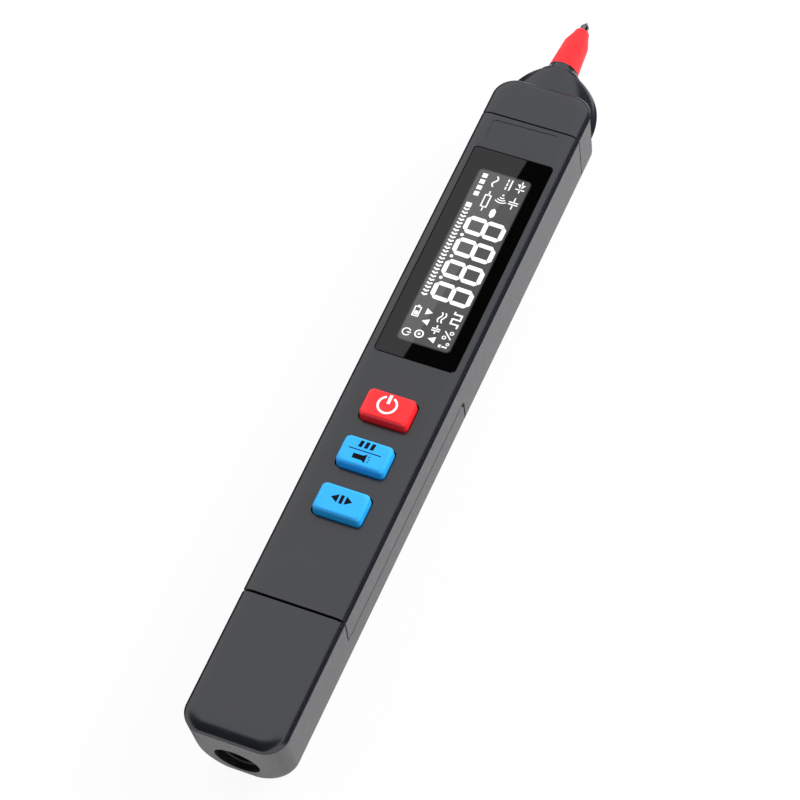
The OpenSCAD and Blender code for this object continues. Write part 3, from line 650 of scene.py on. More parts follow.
collar_start = COVER_END - COLLAR_L
collar = to_object("tub_collar", bay_plate(0, CREASE - LOW / 4, collar_start, MAIN_START + BULKHEAD_T))
combine(collar, bay_plate(COLLAR_T, TOP, collar_start - OVER, MAIN_START), "DIFFERENCE")
way = rectangle(-CONTACT_WAY, CONTACT_WAY, MAIN_START - OVER, MAIN_START + 2 * OVER)
combine(collar, prism("Z", way, SOCKET_Z - CONTACT_WAY, TOP), "DIFFERENCE")
finish(collar, INSIDE_BLACK, "meter", "main_housing", edge=INNER_EDGE)
bulkhead = to_object("bay_bulkhead", bay_plate(-BULKHEAD_SINK, BOARD_Z, bay_end, bay_end + BULKHEAD_T))
finish(bulkhead, INSIDE_BLACK, "meter", "main_housing", edge=INNER_EDGE)
ledges = bmesh.new()
for side in (-1, 1):
    outline = rectangle(side * (INNER_X - LEDGE), side * (INNER_X + LEDGE_SINK), BOARD_Z - LEDGE, BOARD_Z)
    gather(ledges, prism("Y", outline, MAIN_START, MAIN_END - LEDGE_STOP))
finish(to_object("board_ledges", ledges), INSIDE_BLACK, "meter", "main_housing", edge=INNER_EDGE)

# %% [markdown]
# Below the nose plate stands a block as deep as the tub, with the torch's hole in its end. It is the
# tub's outline pulled along, and only the edges of its end are bevelled, because its other end meets the
# tub at a seam.

# %% The block of the nose
BLOCK_ROUND = 1 * MM
TORCH_Z = 3.3 * MM
TORCH_R = 1.9 * MM
block_outline = rectangle(-HALF_W, HALF_W, 0, CREASE - PART_GAP)
block_bm = prism("Y", block_outline, NOSE_START, BLOCK_END, [BACK_R, BACK_R])
end_edges = [edge for edge in block_bm.edges if min(v.co.y for v in edge.verts) > BLOCK_END - PART_GAP
             and min(v.co.z for v in edge.verts) < CREASE - 2 * PART_GAP]
bmesh.ops.bevel(block_bm, geom=end_edges, offset=BLOCK_ROUND, affect="EDGES", segments=QUARTER // 2,
                profile=0.5, material=-1)
nose_block = to_object("nose_block", block_bm)
torch_hole = lathe([(0, BLOCK_END - OVER), (TORCH_R, BLOCK_END - OVER), (TORCH_R, BLOCK_END + OVER),
                    (0, BLOCK_END + OVER)], TORCH_Z)
combine(nose_block, torch_hole, "DIFFERENCE")
finish(nose_block, GRAINED, "meter", "nose_cap", edge=0)

# %% [markdown]
# Past the block the case shrinks to the round neck that holds the probe: a dome with a swelling
# outline and a small flare where it meets the neck. It could be a sphere joined to a cone, but the joints
# would show as creases. So it is one loft of ellipses, whose widths and heights follow powers of a cosine.

# %% The dome of the nose
DOME_STEPS = 24
DOME_FACES = 96
DOME_SQUARE = 0.13
DOME_RIDGE = 0.35
DOME_WIDTH_POWER = 0.86
DOME_HEIGHT_POWER = 0.4
DOME_FRONT = 2.5 * MM
DOME_BACK = 12.8 * MM
NECK_R = 3.35 * MM
NECK_FLARE = 1.7 * MM
NECK_FLARE_L = 1.6 * MM
JOINT = NECK - 0.5 * MM
FLARE_SINK = 0.05 * MM


def between(a, b, share):
    return a + (b - a) * share


def dome_ring(bm, half, front, back, power, y, ridge=0.0):
    """A rounded outline across the probe's axis. A power under 1 squares it, a ridge sharpens its front."""
    circle = bmesh.ops.create_circle(bm, radius=1, segments=DOME_FACES)
    for vert in circle["verts"]:
        across = math.copysign(abs(vert.co.x) ** power, vert.co.x)
        up = vert.co.y ** (power + ridge) if vert.co.y > 0 else -abs(vert.co.y) ** power
        vert.co = (half * across, y, (front + back) / 2 + (front - back) / 2 * up)
    return ring_edges(circle["verts"])


def dome():
    """One loft from the block to the sleeve: a swelling dome whose sides sweep out of the round neck."""
    bm = bmesh.new()
    rings = []
    for step in range(-1, DOME_STEPS - 1):
        angle = math.pi / 2 * max(0, step) / DOME_STEPS
        swell = math.cos(angle)
        along = math.sin(angle)
        half = between(NECK_R, HALF_W, swell ** DOME_WIDTH_POWER)
        front = between(TOP - DOME_FRONT, PROBE_Z + NECK_R, along)
        back = between(PROBE_Z - NECK_R, TOP - DOME_BACK, swell ** DOME_HEIGHT_POWER)
        y = BLOCK_END + DOME_L * along if step >= 0 else BLOCK_END - 2 * OVER
        power = 2 / (2 + DOME_SQUARE * swell)
        rings.append(dome_ring(bm, half, front, back, power, y, DOME_RIDGE * swell))
    foot = BLOCK_END + DOME_L
    for step in range(2, QUARTER + 1):
        angle = math.pi / 2 * step / QUARTER
        half = NECK_R + NECK_FLARE * (1 - math.sin(angle))
        rings.append(dome_ring(bm, half, PROBE_Z + NECK_R, PROBE_Z - NECK_R, 1,
                               foot - FLARE_SINK + NECK_FLARE_L * (1 - math.cos(angle))))
    rings.append(dome_ring(bm, NECK_R, PROBE_Z + NECK_R, PROBE_Z - NECK_R, 1, JOINT))
    skin(bm, rings)
    return bm


finish(to_object("nose_dome", dome()), SATIN, "meter", "nose_cap", edge=0)

# %% [markdown]
# The keys are silicone caps with drawn-in sides and a soft top edge. A block with a Bevel modifier would
# round the foot as much as the top, so a cap is lofted from its foot up, and the last rings follow a
# quarter circle.

# %% Silicone keys
KEY_DRAFT = 0.2 * MM
KEY_ROUND = 0.7 * MM
KEY_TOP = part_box("power_button")[1].z - PRINT
KEY_FOOT = CREASE - 0.15 * MM


def silicone(name, shade, dark, roughness=0.27):
    made = Finish(name)
    grain = made.noise(6.0, detail=3.0)
    cloud = made.noise(0.3)
    made.set(Base_Color=made.mix(cloud, shade, dark), Roughness=roughness + 0.1 * cloud)
    return made.bump(grain, 0.05, 0.02).material


def key_cap(name, node, middle, material):
    bm = bmesh.new()
    half, long = KEY_W / 2, KEY_L / 2
    rings = [rounded_ring(bm, half, middle - long, middle + long, KEY_R, KEY_R, KEY_FOOT)]
    for step in range(QUARTER + 1):
        angle = math.pi / 2 * step / QUARTER
        pull = KEY_DRAFT + KEY_ROUND * (1 - math.cos(angle))
        rings.append(rounded_ring(bm, half - pull, middle - long + pull, middle + long - pull, KEY_R, KEY_R,
                                  KEY_TOP - KEY_ROUND * (1 - math.sin(angle))))
    skin(bm, rings)
    finish(to_object(name, bm), material, node.replace("button", "key"), node, edge=0)


RED = silicone("red_silicone", colour(252, 42, 48), colour(244, 38, 44))
BLUE = silicone("blue_silicone", colour(42, 170, 248), colour(38, 164, 242))
for name, node, middle, material in zip(("power_cap", "light_cap", "select_cap"), KEY_NODES, key_middles,
                                        (RED, BLUE, BLUE)):
    key_cap(name, node, middle, material)

# %% [markdown]
# Each key carries a sign: an open ring with a bar on the red key, three bars above a line and a torch on
# the first blue key, and a bar between two triangles on the second. They are prints of their own that ride
# on their key, so they sink with it when it is pressed.

# %% Key signs
TOP_PRINT = (KEY_TOP, KEY_TOP + PRINT)
RING = 1.95
RING_LINE = 0.48
RAY_START, RAY_END = 1.2, 1.7
power_y, light_y, select_y = key_middles


def on_key(points, key_y):
    """Points in millimetres from the middle of a key, placed on it."""
    return [(x * MM, key_y + y * MM) for x, y in points]


def filled(bm, points, key_y):
    gather(bm, prism("Z", on_key(points, key_y), *TOP_PRINT))


sign = bmesh.new()
ring_x, ring_y = -0.2, 0.25
stroke(sign, on_key(arc((ring_x, ring_y), RING, 115, 425), power_y), RING_LINE * MM, *TOP_PRINT)
filled(sign, rectangle(ring_x - 0.7 * RING_LINE, ring_x + 0.7 * RING_LINE, ring_y + 0.15 * RING,
                       ring_y + 1.25 * RING), power_y)
printed("power_sign", sign, WHITE_PAINT, "power_key")

sign = bmesh.new()
stroke(sign, on_key([(-3.6, 0.35), (3.4, 0.35)], light_y), 0.22 * MM, *TOP_PRINT)
filled(sign, [(-2.1, -1.75), (0, -1.75), (0.75, -2.2), (0.75, -0.15), (0, -0.6), (-2.1, -0.6)], light_y)
for tilt in (-25, 0, 25):
    ray = [arc((0, -1.18), r, tilt, tilt, 1)[0] for r in (RAY_START, RAY_END)]
    stroke(sign, on_key(ray, light_y), 0.16 * MM, *TOP_PRINT)
for x in (-1.9, -0.65, 0.6):
    filled(sign, [(x, 1.05), (x + 0.75, 1.05), (x + 0.95, 2.6), (x + 0.2, 2.6)], light_y)
printed("light_sign", sign, BLACK_PAINT, "light_key")

sign = bmesh.new()
for side in (-1, 1):
    filled(sign, [(side * 2.3, 0.3), (side * 0.8, 1.3), (side * 0.8, -0.7)], select_y)
filled(sign, rectangle(-0.35, 0.35, -0.7, 1.3), select_y)
printed("select_sign", sign, BLACK_PAINT, "select_key")

# %% [markdown]
# The display window is a slab of black acrylic, polished flat. The lit panel behind it shows as a paler
# field with a soft border. Clear plastic over a real panel would be noisy and slow, so the field is a mask
# in the slab's own finish: the distance to a rounded rectangle, faded over a fraction of a millimetre.

# %% Display window
FIELD_X = (-5.57 * MM, 6 * MM)
FIELD_Y = (2.4 * MM, 47.6 * MM)
FIELD_SOFT = 0.3 * MM
FIELD_R = 0.9 * MM


def black_acrylic():
    made = Finish("black_acrylic")
    x, y = made.parts()[:2]
    across = (x - sum(FIELD_X) / 2).math("ABSOLUTE", 0) - (FIELD_X[1] - FIELD_X[0]) / 2 + FIELD_R
    along = (y - sum(FIELD_Y) / 2).math("ABSOLUTE", 0) - (FIELD_Y[1] - FIELD_Y[0]) / 2 + FIELD_R
    out_x = across.math("MAXIMUM", 0)
    out_y = along.math("MAXIMUM", 0)
    reach = (out_x * out_x + out_y * out_y).math("POWER", 0.5)
    field = made.fade(reach, FIELD_R + FIELD_SOFT, FIELD_R - FIELD_SOFT)
    smear = made.noise(0.4, detail=3.0)
    field_grey = made.mix(smear, grey(75), grey(79))
    made.set(Base_Color=made.mix(field, grey(3), field_grey), Roughness=0.004 + 0.01 * smear, IOR=1.5)
    return made.material


WINDOW_EDGE = 0.12 * MM
window_bm = bmesh.new()
window_levels = ((0, window_low.z), (0, window_high.z - WINDOW_EDGE), (WINDOW_EDGE, window_high.z))
window_rings = [rounded_ring(window_bm, window_high.x - inset, window_low.y + inset, window_high.y - inset,
                             WINDOW_R - WINDOW_GAP, WINDOW_R - WINDOW_GAP, z) for inset, z in window_levels]
skin(window_bm, window_rings)
finish(to_object("window_slab", window_bm), black_acrylic(), "meter", "display_window", edge=0)

# %% [markdown]
# Every segment of the panel glows white at once, as in a display test. Each segment is a bar with
# pointed ends, drawn as a thin print on the window. The picture reads from the tip towards the tail, so
# its drawings are stated as (along, up) in millimetres from the window's tip end.

# %% Segments of the display
READ_START = 54 * MM
GLASS = (window_high.z, window_high.z + PRINT)
SLANT = math.tan(math.radians(2))
DIGIT_UP = 1.12
DIGIT_HALF_W = 1.78
DIGIT_HALF_H = 3.95
BAR_T = 0.98
BAR_GAP = 0.07


def read(points):
    return [(up * MM, READ_START - along * MM) for along, up in points]


def segment(bm, start, end, middle, thick=BAR_T):
    """A bar with pointed ends, slanted with its digit."""
    (a, b), (c, d) = start, end
    length = math.hypot(c - a, d - b)
    ux, uy = (c - a) / length, (d - b) / length
    half = thick / 2
    outline = [(BAR_GAP, 0), (BAR_GAP + half, half), (length - BAR_GAP - half, half),
               (length - BAR_GAP, 0), (length - BAR_GAP - half, -half), (BAR_GAP + half, -half)]
    laid = [(a + ux * s - uy * t, b + uy * s + ux * t) for s, t in outline]
    placed = [(middle[0] + u + SLANT * v, middle[1] + v) for u, v in laid]
    gather(bm, prism("Z", read(placed), *GLASS))


def digit(bm, along):
    w, h = DIGIT_HALF_W, DIGIT_HALF_H
    for start, end in (((-w, h), (w, h)), ((-w, 0), (w, 0)), ((-w, -h), (w, -h)), ((-w, 0), (-w, h)),
                       ((w, 0), (w, h)), ((-w, -h), (-w, 0)), ((w, -h), (w, 0))):
        segment(bm, start, end, (along, DIGIT_UP))


def draw(bm, points, width=0.26, closed=False):
    stroke(bm, read(points), width * MM, *GLASS, closed)


def fill(bm, points):
    gather(bm, prism("Z", read(points), *GLASS))


def dot(bm, centre, r):
    fill(bm, arc(centre, r, 0, 337.5, 15))


def ring(bm, centre, r, width):
    draw(bm, arc(centre, r, 0, 345, 23), width, closed=True)


panel = bmesh.new()
for along in (20.57, 26.37, 32.2, 38.03):
    digit(panel, along)
for along in (23.42, 29.12, 34.82):
    dot(panel, (along, -2.75), 0.38)
segment(panel, (15.0, 0), (17.65, 0), (0, 1.16), 1.15)
fill(panel, rectangle(15.3, 16.5, -3.75, -5.0))
for step in range(25):
    along = 16.9 + 0.945 * step
    draw(panel, [(along, -3.78), (along + 0.32, -4.38), (along, -4.98)], 0.4)
printed("panel_digits", panel, WHITE_PAINT, "meter", "lcd_panel")

# %% [markdown]
# Small signs stand round the digits: components and waves at the tip end, modes at the tail end. Only
# drawn signs are used, no words. Most are a few strokes, so they are drawn with the same helpers.

# %% Small signs of the display
def wave(along, up, length, height, steps=16):
    return [(along + length * step / steps, up + height * math.sin(math.tau * step / steps))
            for step in range(steps + 1)]


def capacitor(bm, start, plates, end, up, half, width=0.26):
    draw(bm, [(start, up), (plates[0], up)], width)
    draw(bm, [(plates[1], up), (end, up)], width)
    for along in plates:
        draw(bm, [(along, up + half), (along, up - half)], width)


signs = bmesh.new()
# diode
draw(signs, [(6.8, 4.3), (9.75, 4.3)])
fill(signs, [(7.55, 5.2), (7.55, 3.4), (8.8, 4.3)])
draw(signs, [(8.9, 5.3), (8.9, 3.3)])
capacitor(signs, 11.1, (12.35, 12.9), 14.15, 4.3, 1.05)
# direct current
draw(signs, [(7.1, 2.1), (9.8, 2.1)], 0.3)
for along in (7.1, 8.1, 9.1):
    draw(signs, [(along, 1.3), (along + 0.7, 1.3)], 0.3)
# sound
dot(signs, (11.3, 1.6), 0.22)
for r in (0.8, 1.4, 2.0):
    draw(signs, arc((11.3, 1.6), r, -38, 38, 10), 0.24)
# alternating current
draw(signs, wave(7.2, -1.35, 2.8, 0.42), 0.32)
# resistor
draw(signs, [(11.2, -1.35), (12.3, -1.35)])
draw(signs, rectangle(12.3, 15.3, -0.75, -1.95), 0.28, closed=True)
draw(signs, [(15.3, -1.35), (16.4, -1.35)])
for along in (7.3, 8.9, 10.5, 12.1):
    fill(signs, rectangle(along, along + 1.1, -4.5, -3.4))
# square wave
draw(signs, [(41.7, 3.5), (42.3, 3.5), (42.3, 5.15), (43.5, 5.15), (43.5, 3.5), (44.7, 3.5), (44.7, 5.15),
             (45.6, 5.15)], 0.36)
# per cent
draw(signs, [(46.8, 3.3), (48.5, 5.1)], 0.28)
for centre in ((46.95, 4.8), (48.35, 3.6)):
    ring(signs, centre, 0.36, 0.22)
# temperature
ring(signs, (49.7, 4.95), 0.28, 0.2)
draw(signs, [(50.55, 5.1), (50.55, 3.6)], 0.34)
dot(signs, (50.55, 3.55), 0.38)
for up in (0.95, 1.75):
    draw(signs, wave(42.7, up, 2.6, 0.3), 0.3)
capacitor(signs, 46.0, (46.9, 47.4), 48.2, 1.3, 0.9, 0.3)
# arrow heads
fill(signs, [(48.8, 2.1), (50.4, 2.1), (49.6, 0.5)])
fill(signs, [(42.8, -2.3), (44.4, -2.3), (43.6, -0.8)])
fill(signs, [(45.2, -0.8), (46.8, -0.8), (46.0, -2.3)])
# ring with a dot
ring(signs, (49.2, -1.55), 0.85, 0.32)
dot(signs, (49.2, -1.55), 0.3)
# cell
draw(signs, rectangle(43.1, 45.4, -3.55, -4.8), 0.26, closed=True)
fill(signs, rectangle(42.65, 43.0, -3.9, -4.45))
fill(signs, rectangle(44.1, 45.1, -3.8, -4.55))
# open ring with a bar
draw(signs, arc((49.55, -4.2), 0.85, 120, 420, 24))
draw(signs, [(49.55, -4.1), (49.55, -3.2)])
printed("panel_signs", signs, WHITE_PAINT, "meter", "lcd_panel")

# %% [markdown]
# A tapering red sleeve slips over the neck's spigot and leaves only the needle's tip bare. It is round
# all over, so instead of stacking cones its half outline is spun round the probe's axis, outside, end and
# bore in one.

# %% Sleeve of the probe
SPIGOT_R = 1.88 * MM
SPIGOT_L = 6.08 * MM
BORE_R = 1.03 * MM
SHOULDER_Y = NECK + 7.2 * MM
SLEEVE_TOP_R = 1.7 * MM
SHOULDER_R = 2.75 * MM
TOP_ROUND = 0.85 * MM
sleeve_end = sleeve_high.y


def eased(a, b, steps):
    """Points between two corners along a quarter of an ellipse that leaves the first one straight on."""
    turns = [math.pi / 2 * step / steps for step in range(steps + 1)]
    return [(b[0] + (a[0] - b[0]) * math.cos(turn), a[1] + (b[1] - a[1]) * math.sin(turn)) for turn in turns]


sleeve_profile = [(SPIGOT_R, JOINT), (NECK_R - EDGE, JOINT), (NECK_R, JOINT + EDGE), (SHOULDER_R, SHOULDER_Y)]
sleeve_profile += eased((SLEEVE_TOP_R, sleeve_end - TOP_ROUND), (SLEEVE_TOP_R - TOP_ROUND / 2, sleeve_end), 8)
sleeve_profile += [(BORE_R, sleeve_end), (BORE_R, NECK + SPIGOT_L), (SPIGOT_R, NECK + SPIGOT_L),
                   (SPIGOT_R, JOINT)]
RED_INSULATION = silicone("red_insulation", colour(250, 40, 46), colour(244, 36, 42), 0.5)
turned("red_sleeve", sleeve_profile, RED_INSULATION, "sleeve", "probe_sleeve", segments=96)

# %% [markdown]
# The needle is polished steel, thinner where the sleeve hides it and pointed at its end. It is spun too,
# and its finish has fine rings along its length, as a lathe leaves them: noise that reads only the place
# along the needle.

# %% Needle of the probe
SHANK_R = 0.7 * MM
TIP_R = needle_high.x
TIP_STEP = 0.05 * MM
CONE_L = 1.3 * MM
CONE_EASE = 0.1 * MM
POINT_R = 0.12 * MM
POINT_L = 0.08 * MM


def steel(name, level, roughness, rings_seen=0.0):
    made = Finish(name)
    y = made.parts()[1]
    rings = made.node("TexNoise", {"noise_dimensions": "1D"}, W=y * (40 / MM), Scale=1.0, Detail=3.0)
    cloud = made.noise(0.8)
    made.set(Base_Color=made.mix(cloud, grey(level), grey(level + 12)), Metallic=1.0,
             Roughness=roughness + 0.1 * cloud)
    return made.bump(rings, rings_seen, 0.01).material


NEEDLE_STEEL = steel("needle_steel", 118, 0.06, 0.1)
PLATED = steel("plated_steel", 200, 0.28)
cone = needle_high.y - CONE_L
needle_profile = [(0, needle_low.y), (SHANK_R, needle_low.y), (SHANK_R, sleeve_end),
                  (TIP_R, sleeve_end + TIP_STEP), (TIP_R, cone - CONE_EASE), (TIP_R * 0.97, cone),
                  (POINT_R, needle_high.y - POINT_L), (0, needle_high.y)]
turned("needle", needle_profile, NEEDLE_STEEL, "meter", "probe_needle")

# %% [markdown]
# The socket at the tail takes a shrouded lead plug. A black tube with a bevelled mouth stands in the hole,
# out of a finger's reach. Its bore could be cut out of a cylinder, but a half outline that runs down the
# outside and back up the bore makes tube, bore and bevels in one spin.

# %% Tube of the socket
shroud_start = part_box("com_insulator")[0].y
SHROUD_R = 4.55 * MM
SHROUD_BORE = 3.95 * MM
SHROUD_FLOOR = -67.425 * MM
CONTACT_R = 2.6 * MM
CHAMFER = 0.2 * MM


def black_plastic():
    made = Finish("black_plastic")
    grain = made.noise(4.0, detail=3.0)
    cloud = made.noise(0.5)
    made.set(Base_Color=made.mix(cloud, grey(13), grey(19)), Roughness=0.42 + 0.1 * grain)
    return made.bump(grain, 0.1, 0.03).material


BLACK = black_plastic()
shroud_profile = [(SHROUD_BORE + CHAMFER, shroud_start), (SHROUD_R, shroud_start),
                  (SHROUD_R, SHROUD_FLOOR + WALL), (CONTACT_R, SHROUD_FLOOR + WALL),
                  (CONTACT_R, SHROUD_FLOOR), (SHROUD_BORE, SHROUD_FLOOR),
                  (SHROUD_BORE, shroud_start + CHAMFER), (SHROUD_BORE + CHAMFER, shroud_start)]
turned("socket_tube", shroud_profile, BLACK, "meter", "com_insulator", SOCKET_Z, 96)

# %% [markdown]
# The wall of the mouth is black and smooth, unlike the grained cap round it. It could be a second finish
# on the cap's faces, but the mouth is cut by a Boolean modifier, which keeps no count of its faces. So a
# thin black liner lines it. It is turned, then its end is sliced along the leaning end of the cap.

# %% Liner of the mouth
LINER_R = 4.62 * MM
liner_outline = rectangle(LINER_R, MOUTH_R + EDGE, TAIL, shroud_start)
liner_bm = lathe(liner_outline + liner_outline[:1], SOCKET_Z)
cut_flat(liner_bm, (0, TAIL + EDGE / 2, CREASE), (0, -math.cos(TAIL_TILT), -math.sin(TAIL_TILT)), fill=False)
finish(to_object("mouth_liner", liner_bm), BLACK, "cover", "battery_cover", edge=0)

# %% [markdown]
# Deep in the tube stands the hollow brass contact that grips the plug. It is turned like the tube, closed at
# its far end, and noise that reads only the place along it gives the fine rings that a lathe leaves.

# %% Contact of the socket
contact_low, contact_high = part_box("com_contact")
CONTACT_BORE = 2 * MM
CONTACT_FLOOR = -68.925 * MM


def turned_brass():
    made = Finish("turned_brass")
    y = made.parts()[1]
    rings = made.node("TexNoise", {"noise_dimensions": "1D"}, W=y * (12 / MM), Scale=1.0, Detail=2.0)
    cloud = made.noise(0.7)
    made.set(Base_Color=made.mix(cloud, colour(196, 160, 84), colour(214, 178, 104)), Metallic=1.0,
             Roughness=0.26 + 0.12 * cloud)
    return made.bump(rings, 0.15, 0.01).material


BRASS = turned_brass()
contact_start = contact_low.y
contact_profile = [(CONTACT_BORE + CHAMFER, contact_start), (CONTACT_R - CHAMFER, contact_start),
                   (CONTACT_R, contact_start + CHAMFER), (CONTACT_R, contact_high.y), (0, contact_high.y),
                   (0, CONTACT_FLOOR), (CONTACT_BORE, CONTACT_FLOOR), (CONTACT_BORE, contact_start + CHAMFER),
                   (CONTACT_BORE + CHAMFER, contact_start)]
turned("socket_contact", contact_profile, BRASS, "meter", "com_contact", SOCKET_Z)

# %% [markdown]
# The torch looks out of the back of the nose through a small domed lens of clear resin. The dome is part
# of the half outline that is spun, because a sphere cut to size would leave a crease round it.

# %% Torch
lens_low, lens_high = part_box("torch_lens")
LENS_R = lens_high.x
LENS_DOME = 0.35 * MM


def clear_resin():
    made = Finish("clear_resin")
    cloud = made.noise(1.2)
    made.set(Base_Color=made.mix(cloud, grey(236), grey(246)), Roughness=0.05 + 0.05 * cloud, IOR=1.5,
             Transmission_Weight=0.6)
    return made.material


CLEAR_RESIN = clear_resin()
lens_profile = [(0, lens_low.y), (LENS_R, lens_low.y)]
lens_profile += eased((LENS_R, lens_high.y - LENS_DOME), (0, lens_high.y), 10)
turned("torch_window", lens_profile, CLEAR_RESIN, "meter", "torch_lens", TORCH_Z, 48)

# %% [markdown]
# The cell is a steel can in a printed film that is rolled over its ends, with a raised button at one end.
# Can and film are one turned piece, and the button is another, because it is bare metal. A band of another
# colour at the button's end is a step in the film's finish.

# %% Battery cell
cell_low, cell_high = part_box("battery_cell")
button_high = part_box("battery_button")[1]
CELL_Z = (cell_low.z + cell_high.z) / 2
JACKET_LIP = 0.5 * MM
CAN_STEP = 0.25 * MM
BAND_L = 13 * MM
BAND_SOFT = 0.1 * MM
cell_r = cell_high.x
button_r = button_high.x
lip_r = cell_r - 2 * JACKET_LIP


def jacket_film():
    made = Finish("jacket_film")
    y = made.parts()[1]
    band = made.fade(y, cell_high.y - BAND_L - BAND_SOFT, cell_high.y - BAND_L)
    cloud = made.noise(0.9, detail=3.0)
    body = made.mix(cloud, colour(34, 70, 88), colour(40, 80, 98))
    made.set(Base_Color=made.mix(band, body, colour(190, 150, 70)), Roughness=0.24 + 0.1 * cloud,
             Coat_Weight=0.4)
    return made.material


jacket = [(0, cell_low.y + CAN_STEP), (lip_r, cell_low.y + CAN_STEP), (lip_r, cell_low.y)]
jacket += eased((cell_r - JACKET_LIP, cell_low.y), (cell_r, cell_low.y + JACKET_LIP), 6)
jacket += eased((cell_r, cell_high.y - JACKET_LIP), (cell_r - JACKET_LIP, cell_high.y), 6)
jacket += [(lip_r, cell_high.y), (lip_r, cell_high.y - CAN_STEP), (0, cell_high.y - CAN_STEP)]
turned("cell_body", jacket, jacket_film(), "meter", "battery_cell", CELL_Z)
button = [(0, cell_high.y - CAN_STEP), (2 * button_r, cell_high.y - CAN_STEP),
          (2 * button_r, cell_high.y - CAN_STEP / 2), (button_r, cell_high.y)]
button += eased((button_r, button_high.y - CAN_STEP), (button_r - CAN_STEP, button_high.y), 6)
button += [(0, button_high.y)]
turned("cell_button", button, PLATED, "meter", "battery_button", CELL_Z, 48)

# %% [markdown]
# The pieces inside keep their exact solids, because little of them shows and only with the cover off.
# Each gets the surface that it has on the real object: a green board with its tracks, dull black
# mouldings, plated metal, silicone and clear resin. One table says which finish goes with which slot.

# %% Finishes of the pieces inside
def circuit_green():
    made = Finish("circuit_green")
    tracks = made.node("TexWave", {"wave_type": "BANDS", "bands_direction": "X"}, Vector=made.place(),
                       Scale=0.16 / MM, Distortion=6.0, Detail=1.0, Detail_Scale=0.6)
    line = made.fade(tracks, 0.62, 0.7)
    cloud = made.noise(0.6)
    mask = made.mix(cloud, colour(22, 92, 52), colour(26, 104, 60))
    made.set(Base_Color=made.mix(line, mask, colour(44, 134, 82)), Roughness=0.34 + 0.1 * cloud)
    return made.bump(line, 0.3, 0.03).material


def dull(name, shade, other, roughness, scale=3.0, coarse=0.12):
    made = Finish(name)
    grain = made.noise(scale, detail=3.0)
    cloud = made.noise(0.5)
    made.set(Base_Color=made.mix(cloud, shade, other), Roughness=roughness + 0.12 * grain)
    return made.bump(grain, coarse, 0.03).material


INSIDE = {
    "diffuser": dull("diffuser_white", grey(224), grey(236), 0.3),
    "black_plastic": BLACK,
    "silicone": dull("dark_silicone", grey(52), grey(62), 0.6),
    "circuit_board": circuit_green(),
    "pale_plastic": dull("pale_moulding", colour(214, 212, 200), colour(224, 222, 210), 0.45),
    "contact_brass": BRASS,
    "plated_steel": PLATED,
    "thermistor_coat": dull("dipped_coat", colour(186, 104, 34), colour(200, 118, 44), 0.3, 1.5, 0.25),
    "clear_resin": CLEAR_RESIN,
}
for name, node in frame["nodes"].items():
    if SLOTS[name] in INSIDE:
        for place in node.material_slots:
            place.material = INSIDE[SLOTS[name]]
        print(name, "is dressed as", SLOTS[name])

# %% [markdown]
# The camera stands where the photograph was taken from. Its place was found by matching the case's edges
# and seams in the photograph. The lens is long, because the photograph's lines hardly converge.

# %% Camera
camera_data = bpy.data.cameras.new("camera")
camera_data.lens = 171.21
camera_data.sensor_width = 36
camera_data.clip_start = 0.01
camera = bpy.data.objects.new("camera", camera_data)
camera.location = (0.211881, -0.372625, 0.661791)
camera.rotation_euler = [math.radians(angle) for angle in (32.7425, 4.6824, 23.0274)]
bpy.context.scene.collection.objects.link(camera)
bpy.context.scene.camera = camera
print("camera", round(camera.location.length, 3), "m away")

# %% [markdown]
# The floor is white and keeps a faint shadow of the object. A floor lit up to plain white would also
# light the object from below. So the rays of the camera, of gloss and of glass see it mixed with plain
# white, as an overexposed studio sweep looks, and that adds no light to the object. It lies a hair under
# the case, because two faces in one place flicker.

# %% Floor
FLOOR_LIFT = 0.93
FLOOR_HALF = 3
FLOOR_Z = -0.1 * MM


def seen_white(made):
    """1 for the rays that show the room itself: straight to the camera, in gloss or through glass."""
    path = made.tree.nodes.new("ShaderNodeLightPath")
    seen = Shade(made.tree, path.outputs["Is Camera Ray"])
    for ray in ("Is Glossy Ray", "Is Transmission Ray"):
        seen = seen.math("MAXIMUM", Shade(made.tree, path.outputs[ray]))
    return seen


def swept_floor():
    made = Finish("floor_white")
    tree = made.tree
    made.set(Base_Color=grey(240), Roughness=0.9)
    white = made.node("Emission", Strength=1.0)
    mixed = tree.nodes.new("ShaderNodeMixShader")
    plug(tree, mixed.inputs[0], seen_white(made) * FLOOR_LIFT)
    tree.links.new(made.shader.outputs[0], mixed.inputs[1])
    tree.links.new(white.socket, mixed.inputs[2])
    tree.links.new(mixed.outputs[0], tree.nodes["Material Output"].inputs["Surface"])
    return made.material


floor_bm = bmesh.new()
bmesh.ops.create_grid(floor_bm, x_segments=1, y_segments=1, size=FLOOR_HALF,
                      matrix=Matrix.Translation((0, 0, FLOOR_Z)))
floor = to_object("floor", floor_bm)
floor.data.materials.append(swept_floor())
print("floor", 2 * FLOOR_HALF, "m wide")

# %% [markdown]
# One softbox gives the light its direction, and a weaker one opposite lightens the other side wall. They
# are large, so the shadows are soft, and they don't show in gloss, because a real one would stand out of
# the mirrored room.

# %% Softboxes
SOFTBOX = 0.7


def softbox(name, place, power, aim=(0, 0, 0.01)):
    data = bpy.data.lights.new(name, "AREA")
    data.size = SOFTBOX
    data.energy = power
    lamp = bpy.data.objects.new(name, data)
    lamp.location = place
    lamp.rotation_euler = (Vector(place) - Vector(aim)).to_track_quat("Z", "Y").to_euler()
    lamp.visible_glossy = False
    bpy.context.scene.collection.objects.link(lamp)
    print(name, power, "W")


softbox("key_light", (0.68, 0.56, 0.48), 14.5)
softbox("fill_light", (-0.7, 0.5, 0.4), 7)

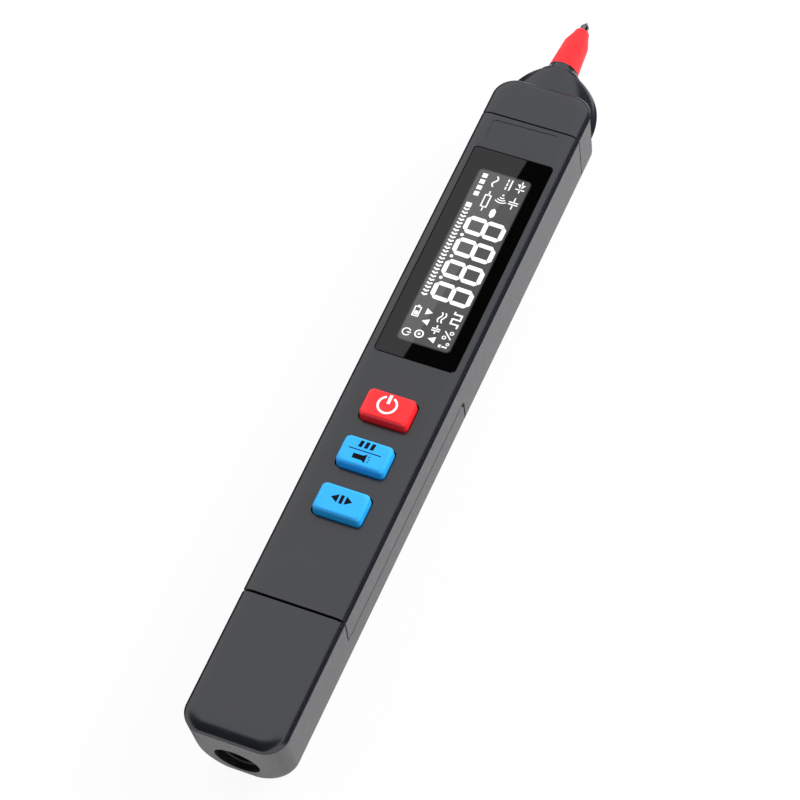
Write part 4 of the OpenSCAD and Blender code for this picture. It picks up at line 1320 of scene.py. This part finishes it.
# %% [markdown]
# Glossy faces mirror the white room, so the studio sets black cards, called flags, where those faces look:
# one far up for half of the window, one above the tail, one beyond the nose, and on each side a sheet on
# the floor with a low wall behind it, which darkens the rolled edges. The faces could be painted darker,
# but that would be wrong from every other side. The flags show only in gloss and throw no shadow.

# %% Flags
WINDOW_FLAG_Z = 0.7
TAIL_FLAG_Z = 0.6
SIDE_FLAG_Z = 0.0006
SIDE_FLAG_END = 0.25
NOSE_FLAG_Y = 0.45


def mirrored(x, y, height):
    """Where a level glossy face at a point shows the room at a height, seen from the camera's place."""
    point = Vector((x * MM, y * MM, TOP))
    sight = camera.location - point
    return point + Vector((-sight.x, -sight.y, sight.z)) * ((height - point.z) / sight.z)


FLAG_BLACK = Finish("flag_black").set(Base_Color=grey(3), Roughness=1.0).material


def flag(name, corners):
    bm = bmesh.new()
    bm.faces.new([bm.verts.new(corner) for corner in corners])
    card = to_object(name, bm)
    card.data.materials.append(FLAG_BLACK)
    card.visible_camera = False
    card.visible_diffuse = False
    card.visible_shadow = False
    card.visible_transmission = False
    print(name, "of", len(corners), "corners")


flag("window_flag", [mirrored(x, y, WINDOW_FLAG_Z) for x, y in ((3.08, 54), (12, 56), (12, -5), (-2.5, -3))])
flag("tail_flag", [(x, y, TAIL_FLAG_Z) for x, y in rectangle(-0.6, 0.2, -1.3, 0.04)])
sheet = ((0.0125, -0.1), (SIDE_FLAG_END, -0.1), (SIDE_FLAG_END, 0.35), (0.1, 0.16), (0.0125, 0.095))
for name, side, height in (("right_flag", 1, 0.42), ("left_flag", -1, 0.08)):
    flag(name, [(side * x, y, SIDE_FLAG_Z) for x, y in sheet])
    flag(name + "_wall", [(side * SIDE_FLAG_END, y, z) for y, z in rectangle(-0.1, 0.5, 0, height)])
flag("nose_flag", [(x, NOSE_FLAG_Y, z) for x, z in rectangle(-0.35, 0.2, 0.01, 0.14)])

# %% [markdown]
# The room is white and even. It lights the object at about half strength, and where the camera, gloss or
# glass looks at it, it shows as plain white, because the photograph's background is plain white. A
# brighter room could do both, but it would wash out the light's direction.

# %% The room
ROOM_LIGHT = 0.52
world = bpy.data.worlds.new("studio")
bpy.context.scene.world = world
world.use_nodes = True
room = Nodes(world.node_tree)
background = world.node_tree.nodes["Background"]
background.inputs[0].default_value = (1, 1, 1, 1)
plug(world.node_tree, background.inputs[1], ROOM_LIGHT + (1 - ROOM_LIGHT) * seen_white(room))

bpy.context.scene.view_settings.view_transform = "Standard"
print("room light", ROOM_LIGHT)
